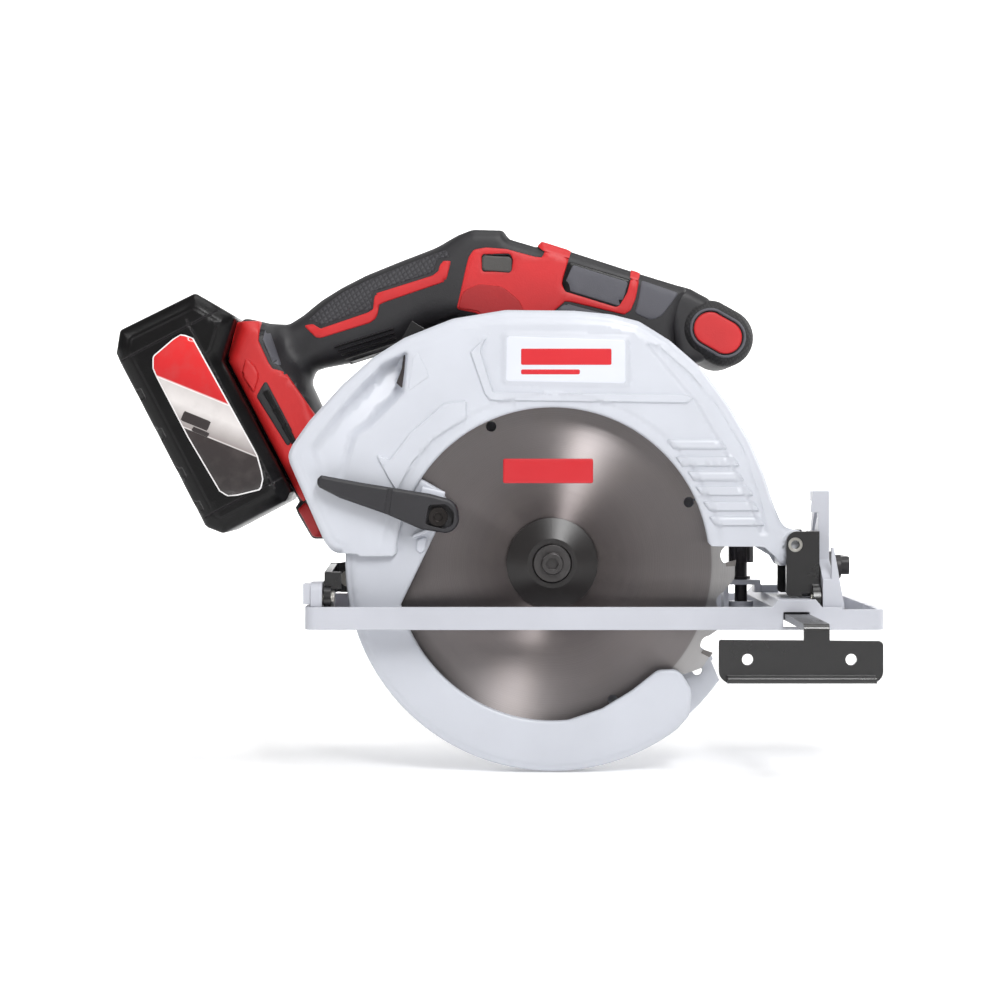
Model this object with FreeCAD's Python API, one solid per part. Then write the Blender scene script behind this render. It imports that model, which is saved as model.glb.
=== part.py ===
import FreeCAD, Part
import math
import os
from FreeCAD import Vector as V

# Cordless circular saw with a 165 mm blade.
# Millimetres.  +X is the cutting direction, +Y goes from the blade to the motor,
# +Z is up.  The origin is on the sole, straight under the blade's centre, in the
# blade's middle plane.

# ---------------------------------------------------------------- driving sizes
BLADE_D = 165.0
BLADE_R = BLADE_D / 2
BLADE_T = 1.2               # blade body
KERF = 1.7                  # tooth width
TEETH = 24
SPINDLE_Z = 28.2            # blade centre above the sole at full depth
BORE_R = 10.0               # blade bore
FLANGE_R = 20.4

BASE_X0 = -109.0            # base plate
BASE_X1 = 145.0
BASE_Y0 = -30.0
BASE_Y1 = 104.0
BASE_T = 2.6
RIM_H = 10.0
RIM_T = 2.6
SLOT_X0 = -97.0             # blade slot in the base
SLOT_X1 = 88.0
SLOT_Y0 = -15.0
SLOT_Y1 = 36.5

BEVEL_Y = -19.5             # bevel axis, along X
BEVEL_Z = 13.0
HUMP_TOP = 13.3             # channel over the fence bar
HUMP_X0 = 95.9
HUMP_X1 = 117.6
DEPTH_X = 107.0             # depth pivot axis, along Y
DEPTH_Z = 37.0
DEPTH_TRAVEL = 29.0         # degrees

GUARD_Y0 = -15.5            # upper guard
GUARD_Y1 = 19.0
GUARD_WALL = 2.6
WINDOW_R = 69.5             # round opening in the upper guard's face

LOWER_R_IN = 90.2           # lower guard rim
LOWER_R_OUT = 92.2
LOWER_Y0 = -11.2
LOWER_Y1 = 9.0
LOWER_BORE = 69.7
HUB_R = 21.0                # gear case nose that carries the lower guard

GEARCASE_Y0 = 19.0
GEARCASE_Y1 = 47.0
GEAR_TEETH = 53
PINION_TEETH = 7
MODULE = 0.75
GEAR_DISTANCE = MODULE * (GEAR_TEETH + PINION_TEETH) / 2
MOTOR_ANGLE = 70.0          # direction from the spindle to the motor axis
MOTOR_X = GEAR_DISTANCE * math.cos(math.radians(MOTOR_ANGLE))
MOTOR_Z = SPINDLE_Z + GEAR_DISTANCE * math.sin(math.radians(MOTOR_ANGLE))
MOTOR_R = 31.0
MOTOR_Y1 = 126.0

HANDLE_Y = 44.0             # middle plane of the handle
HANDLE_HALF = 16.5

QUADRANT_X0 = 118.2         # bevel quadrant plate
QUADRANT_X1 = 123.0
QUADRANT_Y0 = -10.0
QUADRANT_TOP = 60.6
QUADRANT_R = 42.0           # bevel lock slot radius about the bevel axis
BEVEL_BOLT_ANGLE = 18.0
BEVEL_PIN_R = 2.5
DEPTH_PIN_R = 3.2
GUIDE_R = 190.0             # depth guide slot radius about the depth pivot
GUIDE_START = -1.0          # clamp bolt's place on the guide, degrees above -X
GUIDE_Y0 = 21.0
GUIDE_Y1 = 24.0
FIT = 0.05                  # radial clearance of a running fit

CLAMP_X = 88.6              # fence clamp screw
CLAMP_Y = 46.0
QUADRANT_RIVETS = [(131.0, 10.0), (131.0, 26.0)]
EAR_RIVETS = [(-103.2, 6.0), (-103.2, 22.0)]
FENCE_HOLES = (78.0, 120.4)

FOOT_X = -148.3             # upper end of the battery's interface line
FOOT_Z = 119.4
FOOT_HALF = 24.4
GRIP_X = 76.4               # middle of the front grip
GRIP_Z = 132.6
NOSE_Y = 6.2                # front face of the gear case's nose
SHELL_SCREWS = [(-103.0, 131.0), (-30.5, 152.0), (-1.0, 100.0), (40.0, 143.0), (14.0, 154.0)]
BATTERY_Y0 = 8.0
BATTERY_Y1 = 80.0
BATTERY_TILT = 27.5         # the pack's slide direction, degrees from vertical

FENCE_Y = -107.0
BAR_W = 10.6
BAR_T = 2.8
BAR_X = 106.3

GUIDE_RIVETS = [(-92.5, 20.5), (-84.5, 20.5)]
GEARCASE_SCREWS = [(-26.0, 45.0), (26.5, 44.0), (-12.0, 82.0), (34.0, 70.0)]
LEVER_X = -50.5             # screw of the lower guard's thumb lever
LEVER_Z = 49.3
LOWER_A0 = 149.0            # rear end of the lower guard's rim, degrees about the spindle
SLOT_ANGLE = 24.0           # first expansion slot of the blade
TRIGGER_WAY = (-0.36, 0.933)    # the trigger's pull, X and Z
TRIGGER_TRAVEL = 6.0
LOCK_OFF = (-24.7, 164.4)   # lock-off button's middle, X and Z

os.makedirs("parts", exist_ok=True)
NODES = {}


# ---------------------------------------------------------------- small helpers
def save(name, *shapes):
    """Write one node.  Several shapes make a node of separate solids."""
    solids = []
    for shape in shapes:
        solids.extend(shape.Solids)
    node = solids[0] if len(solids) == 1 else Part.makeCompound(solids)
    for number, solid in enumerate(solids):
        if not solid.isValid() or solid.Volume <= 0:
            print("CHECK", name, "solid", number, "is not sound")
    node.exportStep("parts/" + name + ".step")
    NODES[name] = node
    print(name, len(solids), round(node.Volume / 1000, 2), "cm3")


def box(x0, x1, y0, y1, z0, z1):
    return Part.makeBox(x1 - x0, y1 - y0, z1 - z0, V(x0, y0, z0))


def cyl_y(x, z, y0, y1, r):
    return Part.makeCylinder(r, y1 - y0, V(x, y0, z), V(0, 1, 0))


def cyl_x(y, z, x0, x1, r):
    return Part.makeCylinder(r, x1 - x0, V(x0, y, z), V(1, 0, 0))


def cyl_z(x, y, z0, z1, r):
    return Part.makeCylinder(r, z1 - z0, V(x, y, z0), V(0, 0, 1))


def ring_y(x, z, y0, y1, r_out, r_in):
    return cyl_y(x, z, y0, y1, r_out).cut(cyl_y(x, z, y0 - 1, y1 + 1, r_in))


def cone_y(x, z, y0, r0, y1, r1):
    return Part.makeCone(r0, r1, y1 - y0, V(x, y0, z), V(0, 1, 0))


def outline(points, plane="xz", at=0.0):
    """A closed wire.  A point is (a, b); (a, b, "arc") is a point that an arc passes through."""
    def place(a, b):
        if plane == "xz":
            return V(a, at, b)
        if plane == "yz":
            return V(at, a, b)
        return V(a, b, at)

    edges = []
    count = len(points)
    start = points[0]
    step = 1
    while step <= count:
        point = points[step % count]
        if len(point) == 3:
            after = points[(step + 1) % count]
            edges.append(Part.Arc(place(*start[:2]), place(*point[:2]), place(*after[:2])).toShape())
            start = after
            step += 2
        else:
            edges.append(Part.makeLine(place(*start[:2]), place(*point[:2])))
            start = point
            step += 1
    return Part.Wire(edges)


def rounded(points, radii):
    """Corner points and one radius each, turned into points and arcs for outline()."""
    result = []
    count = len(points)
    for index in range(count):
        corner = V(points[index][0], points[index][1], 0)
        before = V(points[index - 1][0], points[index - 1][1], 0) - corner
        after = V(points[(index + 1) % count][0], points[(index + 1) % count][1], 0) - corner
        radius = radii[index] if isinstance(radii, (list, tuple)) else radii
        if radius <= 0:
            result.append((corner.x, corner.y))
            continue
        before_len = before.Length
        after_len = after.Length
        before.normalize()
        after.normalize()
        half = before.getAngle(after) / 2
        reach = min(radius / math.tan(half), 0.49 * before_len, 0.49 * after_len)
        radius = reach * math.tan(half)
        first = corner + before * reach
        last = corner + after * reach
        middle_way = before + after
        middle_way.normalize()
        middle = corner + middle_way * (radius / math.sin(half) - radius)
        result.append((first.x, first.y))
        result.append((middle.x, middle.y, "arc"))
        result.append((last.x, last.y))
    return result


def slab_y(points, y0, y1):
    return Part.Face(outline(points, "xz", y0)).extrude(V(0, y1 - y0, 0))


def slab_x(points, x0, x1):
    return Part.Face(outline(points, "yz", x0)).extrude(V(x1 - x0, 0, 0))


def slab_z(points, z0, z1):
    return Part.Face(outline(points, "xy", z0)).extrude(V(0, 0, z1 - z0))


def fuse(*shapes):
    whole = shapes[0]
    for shape in shapes[1:]:
        whole = whole.fuse(shape)
    return whole.removeSplitter()


def polar(x, z, radius, degrees):
    angle = math.radians(degrees)
    return (x + radius * math.cos(angle), z + radius * math.sin(angle))


def sector(x, z, r_in, r_out, a0, a1):
    """Outline of a ring sector, angles in degrees from +X towards +Z."""
    middle = (a0 + a1) / 2
    return [
        polar(x, z, r_out, a0),
        polar(x, z, r_out, middle) + ("arc",),
        polar(x, z, r_out, a1),
        polar(x, z, r_in, a1),
        polar(x, z, r_in, middle) + ("arc",),
        polar(x, z, r_in, a0),
    ]


def fillet(shape, radius, choose):
    """Round the edges that choose(edge) accepts; leave the shape as it is if that fails."""
    edges = [edge for edge in shape.Edges if choose(edge)]
    if not edges:
        return shape
    try:
        result = shape.makeFillet(radius, edges)
        if result.isValid() and result.Volume > 0:
            return result
    except Exception:
        pass
    print("CHECK fillet of", radius, "was left out")
    return shape


def screw_y(x, z, y_head, y_tip, head_r, shank_r, head_t, recess_r):
    """A screw along Y with a round head that has a recess; y_tip may be either side of y_head."""
    way = 1 if y_tip > y_head else -1
    head = Part.makeCylinder(head_r, head_t, V(x, y_head, z), V(0, way, 0))
    shank = Part.makeCylinder(shank_r, abs(y_tip - y_head), V(x, y_head, z), V(0, way, 0))
    recess = Part.makeCylinder(recess_r, head_t * 0.6, V(x, y_head, z), V(0, way, 0))
    return head.fuse(shank).cut(recess).removeSplitter()


# ---------------------------------------------------------------- base and fence
def make_base():
    plate = box(BASE_X0, BASE_X1, BASE_Y0, BASE_Y1, 0, RIM_H)
    plate = fillet(plate, 6.0, lambda e: abs(e.Length - RIM_H) < 0.01)
    hollow = box(BASE_X0 + RIM_T, BASE_X1 - RIM_T, BASE_Y0 + RIM_T, BASE_Y1 - RIM_T, BASE_T, RIM_H + 1)
    hollow = fillet(hollow, 4.0, lambda e: abs(e.Length - (RIM_H + 1 - BASE_T)) < 0.01)
    plate = plate.cut(hollow)
    plate = plate.cut(box(126.2, BASE_X1 + 1, BASE_Y0 - 1, BASE_Y1 + 1, RIM_H - 1.1, RIM_H + 1))
    hump = slab_y([(HUMP_X0, 0), (HUMP_X0, 10.0), (98.6, HUMP_TOP), (114.8, HUMP_TOP),
                   (HUMP_X1, 10.0), (HUMP_X1, 0)], BASE_Y0, BASE_Y1)
    plate = plate.fuse(hump)
    channel_x0 = BAR_X - BAR_W / 2 - 0.4
    channel_x1 = BAR_X + BAR_W / 2 + 0.4
    plate = plate.cut(box(channel_x0, channel_x1, BASE_Y0 + RIM_T, BASE_Y1 - RIM_T, -1, 7.8))
    plate = plate.cut(box(channel_x0, channel_x1, BASE_Y0 - 1, BASE_Y1 + 1, 1.3, 7.8))
    slot = box(SLOT_X0, SLOT_X1, SLOT_Y0, SLOT_Y1, -1, 20)
    slot = fillet(slot, 5.0, lambda e: abs(e.Length - 21) < 0.01)
    plate = plate.cut(slot)
    # room for the front bracket's foot where it turns about the bevel axis
    plate = plate.cut(cyl_x(BEVEL_Y, BEVEL_Z, 113.2, 119.0, 7.2))
    # holes: fence clamp screw, quadrant rivets, rear ear rivets
    plate = plate.fuse(cyl_z(CLAMP_X, CLAMP_Y, 0, 9.0, 5.6)).cut(cyl_z(CLAMP_X, CLAMP_Y, -1, 12, 2.9 + FIT))
    for x, y in QUADRANT_RIVETS + EAR_RIVETS:
        plate = plate.cut(cyl_z(x, y, -1, 12, 2.0))
    # two sighting notches in the front rim
    for y in (0.0, 21.0):
        plate = plate.cut(box(BASE_X1 - 9, BASE_X1 + 1, y - 1.5, y + 1.5, -1, 20))
    return plate.removeSplitter()


def make_quadrant():
    """Upright plate across the front with the bevel lock slot, standing on a foot."""
    plate = slab_x([
        (BEVEL_Y - 7.5, BASE_T),
        (BEVEL_Y - 7.5, 22.0),
        (QUADRANT_Y0, 30.0),
        (QUADRANT_Y0, QUADRANT_TOP),
        (3.0, QUADRANT_TOP),
        polar(BEVEL_Y, BEVEL_Z, QUADRANT_R + 9.5, 40) + ("arc",),
        polar(BEVEL_Y, BEVEL_Z, QUADRANT_R + 9.5, 3),
        (BEVEL_Y + QUADRANT_R + 9.5, BASE_T),
    ], QUADRANT_X0, QUADRANT_X1)
    slot = slab_x(
        sector(BEVEL_Y, BEVEL_Z, QUADRANT_R - 3.2, QUADRANT_R + 3.2, BEVEL_BOLT_ANGLE - 5, BEVEL_BOLT_ANGLE + 50),
        QUADRANT_X0 - 1, QUADRANT_X1 + 1)
    foot = box(QUADRANT_X0, 136.0, 0.0, BEVEL_Y + QUADRANT_R + 9.5, BASE_T, BASE_T + 2.6)
    buttress = slab_y([(QUADRANT_X1 - 1, BASE_T), (QUADRANT_X1 - 1, 36.0), (QUADRANT_X1, 36.0),
                       (127.6, 11.0), (127.6, BASE_T)], BEVEL_Y - 7.5, BEVEL_Y - 4.5)
    brow = box(115.8, QUADRANT_X0 + 1, QUADRANT_Y0, 3.0, QUADRANT_TOP - 4.6, QUADRANT_TOP)
    gusset = slab_y([(114.8, 51.0), (115.8, QUADRANT_TOP), (QUADRANT_X0 + 1, QUADRANT_TOP),
                     (QUADRANT_X0 + 1, 51.0)], QUADRANT_Y0, QUADRANT_Y0 + 3.0)
    quadrant = fuse(plate, foot, buttress, brow, gusset).cut(slot)
    quadrant = quadrant.cut(cyl_x(BEVEL_Y, BEVEL_Z, 110, 140, BEVEL_PIN_R + FIT))
    for x, y in QUADRANT_RIVETS:
        quadrant = quadrant.cut(cyl_z(x, y, -1, 12, 2.0))
    return quadrant.removeSplitter()


def make_rear_ear():
    """Upright tab on the base's rear edge that carries the rear bevel pin."""
    tab = slab_x(rounded([
        (BEVEL_Y - 7.0, BASE_T), (BEVEL_Y - 7.0, 20.6), (BEVEL_Y + 12.0, 20.6), (34.0, 7.0), (34.0, BASE_T),
    ], [0, 4.0, 5.0, 2.0, 0]), -106.4, -101.4)
    foot = box(-106.4, -98.8, 0.0, 34.0, BASE_T, BASE_T + 2.4)
    lip = box(-109.8, -106.4, BEVEL_Y - 6.0, BEVEL_Y + 12.0, 11.0, 20.0)
    ear = fuse(tab, foot, lip)
    ear = ear.cut(box(-110, -104.6, -30, -22.0, 0, RIM_H + 0.1))
    ear = ear.cut(cyl_x(BEVEL_Y, BEVEL_Z, -115, -95, 2.55))
    for x, y in EAR_RIVETS:
        ear = ear.cut(cyl_z(x, y, -1, 12, 2.0)).cut(cyl_z(x, y, BASE_T + 2.4, 7.2, 3.3))
    return ear.removeSplitter()


def make_rivets():
    rivets = []
    for x, y in QUADRANT_RIVETS:
        rivets.append(fuse(cyl_z(x, y, 0.4, BASE_T + 2.6, 2.0), cyl_z(x, y, BASE_T + 2.6, BASE_T + 4.2, 3.6)))
    for x, y in EAR_RIVETS:
        rivets.append(fuse(cyl_z(x, y, 0.4, BASE_T + 2.4, 2.0), cyl_z(x, y, BASE_T + 2.4, BASE_T + 3.8, 3.2)))
    return rivets


def make_clamp_plate():
    """Steel plate pulled down by the clamp screw; its front end presses on the bar's channel."""
    y0 = CLAMP_Y - 6.5
    y1 = CLAMP_Y + 6.5
    bridge = box(CLAMP_X - 8.6, CLAMP_X + 8.6, y0, y1, 16.8, 19.0)
    rear_leg = box(CLAMP_X - 8.6, CLAMP_X - 6.2, y0, y1, BASE_T, 17.0)
    front_leg = box(CLAMP_X + 5.8, CLAMP_X + 8.6, y0, y1, HUMP_TOP, 17.0)
    tongue = box(CLAMP_X + 7.6, CLAMP_X + 17.0, y0 + 1.5, y1 - 1.5, HUMP_TOP, 16.6)
    front_leg = front_leg.cut(box(CLAMP_X, HUMP_X0 + 2.8, y0 - 1, y1 + 1, 0, HUMP_TOP))
    plate = fuse(bridge, rear_leg, front_leg, tongue)
    plate = plate.cut(cyl_z(CLAMP_X, CLAMP_Y, 0, 30, 3.2))
    return plate.removeSplitter()


def make_clamp_knob():
    """Screw with a ribbed knob."""
    screw = cyl_z(CLAMP_X, CLAMP_Y, 0.6, 27.0, 2.9)
    knob = cyl_z(CLAMP_X, CLAMP_Y, 27.0, 38.5, 5.8)
    for index in range(12):
        x, y = polar(CLAMP_X, CLAMP_Y, 6.4, 30 * index)
        knob = knob.cut(cyl_z(x, y, 26, 40, 1.0))
    collar = cyl_z(CLAMP_X, CLAMP_Y, 19.3, 20.6, 4.4)
    return fuse(screw, knob, collar)


def make_fence():
    """Rip fence: a flat bar with a graduated top, bent down into a plate with a rolled edge."""
    y_plate = FENCE_Y + 2.5
    bar = box(BAR_X - BAR_W / 2, BAR_X + BAR_W / 2, y_plate, 88.0, 4.3, 4.3 + BAR_T)
    bend = slab_x([
        (y_plate + 0.1, 4.3 + BAR_T), (FENCE_Y + 0.7, 6.3, "arc"), (FENCE_Y, 4.6), (FENCE_Y, -2.0),
        (FENCE_Y + 2.5, -2.0), (FENCE_Y + 2.5, 4.3), (y_plate + 0.1, 4.3),
    ], BAR_X - BAR_W / 2, BAR_X + BAR_W / 2)
    plate = slab_y(rounded([
        (66.3, 0.6), (133.5, 0.1), (133.5, -17.2), (66.3, -17.2),
    ], [1.0, 2.0, 5.0, 5.0]), FENCE_Y, FENCE_Y + 2.5)
    lip = slab_x(rounded([
        (FENCE_Y, -14.0), (FENCE_Y - 5.0, -14.6), (FENCE_Y - 5.0, -17.0), (FENCE_Y + 2.5, -17.2),
        (FENCE_Y + 2.5, -14.0),
    ], [0, 0.8, 1.5, 0, 0]), 69.5, 130.3)
    fence = fuse(bar, bend, plate, lip)
    for x in FENCE_HOLES:
        fence = fence.cut(cyl_y(x, -7.5, FENCE_Y - 8, FENCE_Y + 8, 2.35))
    # graduation grooves along the bar
    for index in range(16):
        depth = 3.2 if index % 5 else 5.5
        y = -90.0 + 10.0 * index
        fence = fence.cut(box(BAR_X - BAR_W / 2 - 1, BAR_X - BAR_W / 2 + depth, y, y + 0.5, 6.8, 8))
    return fence.removeSplitter()


# ---------------------------------------------------------------- tilt frame
def make_front_bracket():
    """Two cheeks and a web; it turns on the bevel pin and carries the depth pivot pin."""
    cheek = rounded([
        (103.0, 14.2), (103.0, 42.9), (117.6, 42.9), (117.6, 14.2),
    ], [2.0, 5.0, 2.0, 0.0])
    near = slab_y(cheek, BEVEL_Y + 0.2, GUARD_Y0 - 0.5)
    far = slab_y(cheek, GUARD_Y1 + 0.5, GUARD_Y1 + 3.5)
    bolt_y, bolt_z = bevel_bolt()
    far = far.cut(cyl_x(bolt_y, bolt_z, 111.2, 114.2, 5.4))
    web = slab_x([
        (BEVEL_Y + 0.2, 14.2), (BEVEL_Y + 0.2, 42.9), (2.5, 42.9), (GUARD_Y1 + 3.5, 25.0), (29.0, 24.0),
        (29.0, 14.2),
    ], 114.2, 117.6)
    far = far.cut(slab_x([(BEVEL_Y, 60), (2.5, 42.9), (GUARD_Y1 + 3.5, 25.0), (40, 24.0), (40, 60)], 114.1, 120))
    barrel = cyl_x(BEVEL_Y, BEVEL_Z, 114.2, 117.6, 6.5)
    bracket = fuse(near, far, web, barrel)
    bracket = bracket.cut(cyl_x(BEVEL_Y, BEVEL_Z, 110, 120, BEVEL_PIN_R))
    bracket = bracket.cut(cyl_y(DEPTH_X, DEPTH_Z, -30, 30, DEPTH_PIN_R))
    y, z = bevel_bolt()
    bracket = bracket.cut(cyl_x(y, z, 110, 120, 2.9))
    return bracket.removeSplitter()


def bevel_bolt():
    return polar(BEVEL_Y, BEVEL_Z, QUADRANT_R, BEVEL_BOLT_ANGLE)


def make_bevel_bolt():
    """Flanged screw that goes through the quadrant's slot."""
    y, z = bevel_bolt()
    return fuse(cyl_x(y, z, 111.4, 114.2, 5.2), cyl_x(y, z, 114.2, 133.4, 2.9))


def make_bevel_knob():
    """Threaded hub with a thumb lever."""
    y, z = bevel_bolt()
    hub = fuse(cyl_x(y, z, QUADRANT_X1 + 0.3, 128.4, 7.0), cyl_x(y, z, 128.4, 131.6, 5.4))
    lever = slab_x(rounded([
        (y - 4.0, z - 3.6), (y + 4.5, z - 3.6), (y + 26.0, z - 1.5), (y + 26.0, z + 4.5), (y + 4.0, z + 4.6),
        (y - 4.0, z + 4.6),
    ], [3.0, 2.0, 3.0, 3.0, 2.0, 3.0]), 131.0, 135.4)
    return fuse(hub, lever).cut(cyl_x(y, z, 110, 134.0, 2.9 + FIT))


def make_rear_bracket():
    """Web across the rear that turns on the rear bevel pin and holds the depth guide."""
    web = slab_x(rounded([
        (BEVEL_Y + 0.2, 14.2), (BEVEL_Y + 0.2, 24.9), (28.0, 27.5), (28.0, 14.2),
    ], [0, 2.5, 3.0, 0]), -100.8, -97.6)
    near = box(-100.8, -93.4, BEVEL_Y + 0.2, BEVEL_Y + 3.2, 17.4, 24.9)
    arm = slab_y(rounded([(-100.8, 14.2), (-100.8, 27.5), (-78.0, 27.5), (-78.0, 14.2)], [0, 0, 3, 3]),
                 GUIDE_Y1, GUIDE_Y1 + 3.0)
    barrel = cyl_x(BEVEL_Y, BEVEL_Z, -100.8, -97.6, 6.0)
    bracket = fuse(web, near, arm, barrel)
    bracket = bracket.cut(cyl_x(BEVEL_Y, BEVEL_Z, -110, -90, BEVEL_PIN_R))
    for x, z in GUIDE_RIVETS:
        bracket = bracket.cut(cyl_y(x, z, 0, 40, 2.2))
    return bracket.removeSplitter()


def on_guide(degrees, radius=GUIDE_R):
    """A point on an arc about the depth pivot, degrees above the -X direction."""
    return polar(DEPTH_X, DEPTH_Z, radius, 180 - degrees)


def make_depth_guide():
    """Curved plate with a slot centred on the depth pivot."""
    half = 8.0
    top = GUIDE_START + DEPTH_TRAVEL + 2.6
    band = slab_y(sector(DEPTH_X, DEPTH_Z, GUIDE_R - half, GUIDE_R + half, 180 - top, 186.5), GUIDE_Y0, GUIDE_Y1)
    foot = slab_y(rounded([(-97.4, 14.2), (-97.4, 27.5), (-80.0, 30.0), (-78.0, 14.2)], [2, 2, 0, 2]),
                  GUIDE_Y0, GUIDE_Y1)
    guide = fuse(band, foot)
    slot = slab_y(
        sector(DEPTH_X, DEPTH_Z, GUIDE_R - 3.1, GUIDE_R + 3.1,
               180 - (GUIDE_START + DEPTH_TRAVEL + 1.0), 180 - (GUIDE_START - 1.0)),
        GUIDE_Y0 - 1, GUIDE_Y1 + 1)
    guide = guide.cut(slot)
    for x, z in GUIDE_RIVETS:
        guide = guide.cut(cyl_y(x, z, 0, 40, 2.2))
    # depth scale grooves beside the slot
    for step in range(10):
        x0, z0 = on_guide(GUIDE_START + 3 * step, GUIDE_R + 4.0)
        x1, z1 = on_guide(GUIDE_START + 3 * step, GUIDE_R + 6.8)
        groove = Part.makeCylinder(0.25, 2.9, V(x0, GUIDE_Y1, z0), V(x1 - x0, 0, z1 - z0))
        guide = guide.cut(groove)
    return guide.removeSplitter()


def make_guide_rivets():
    rivets = []
    for x, z in GUIDE_RIVETS:
        rivets.append(fuse(
            cyl_y(x, z, GUIDE_Y0 - 1.6, GUIDE_Y0, 3.6),
            cyl_y(x, z, GUIDE_Y0, GUIDE_Y1 + 3.0, 2.2),
            cyl_y(x, z, GUIDE_Y1 + 3.0, GUIDE_Y1 + 4.6, 3.6)))
    return rivets


def make_bevel_pins():
    front = fuse(cyl_x(BEVEL_Y, BEVEL_Z, 113.6, 124.6, BEVEL_PIN_R), cyl_x(BEVEL_Y, BEVEL_Z, 123.3, 125.2, 4.4))
    rear = fuse(cyl_x(BEVEL_Y, BEVEL_Z, -107.6, -96.4, BEVEL_PIN_R), cyl_x(BEVEL_Y, BEVEL_Z, -97.6, -96.2, 4.0))
    return front, rear


def make_depth_pin():
    """Hollow roll pin through both cheeks."""
    pin = cyl_y(DEPTH_X, DEPTH_Z, BEVEL_Y + 0.4, GUARD_Y1 + 3.4, DEPTH_PIN_R)
    return pin.cut(cyl_y(DEPTH_X, DEPTH_Z, -40, 40, 1.9))


# ---------------------------------------------------------------- guards
def guard_outer():
    """Outer edge of the upper guard from its rear bottom corner, over the top, to the front toe."""
    return [
        (-97.2, 33.0), (-101.2, 38.0), (-116.4, 72.5), (-117.2, 77.0, "arc"), (-115.6, 80.8),
        (-93.5, 108.2, "arc"), (-66.0, 128.6), (-44.5, 137.6, "arc"), (-21.0, 141.0),
        (9.5, 140.6, "arc"), (38.5, 136.1), (66.0, 115.0, "arc"), (87.5, 83.5),
        (95.5, 64.5, "arc"), (100.6, 48.7), (102.8, 45.0, "arc"), (DEPTH_X, DEPTH_Z + 6.6),
        (DEPTH_X + 6.6, DEPTH_Z, "arc"), (DEPTH_X, DEPTH_Z - 6.6), (103.4, 27.0), (102.2, 26.2),
    ]


def guard_window():
    """The face's lower edge: front toe, round window about the blade's centre, rear corner."""
    return [
        (99.0, 31.4, "arc"), (90.8, 36.0), (70.6, 36.1),
        polar(0, SPINDLE_Z, WINDOW_R, 10),
        polar(0, SPINDLE_Z, WINDOW_R, 90) + ("arc",),
        polar(0, SPINDLE_Z, WINDOW_R, 173),
        (-68.8, 33.0), (-71.0, 31.8), (-85.2, 31.7), (-86.6, 32.8),
    ]


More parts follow.
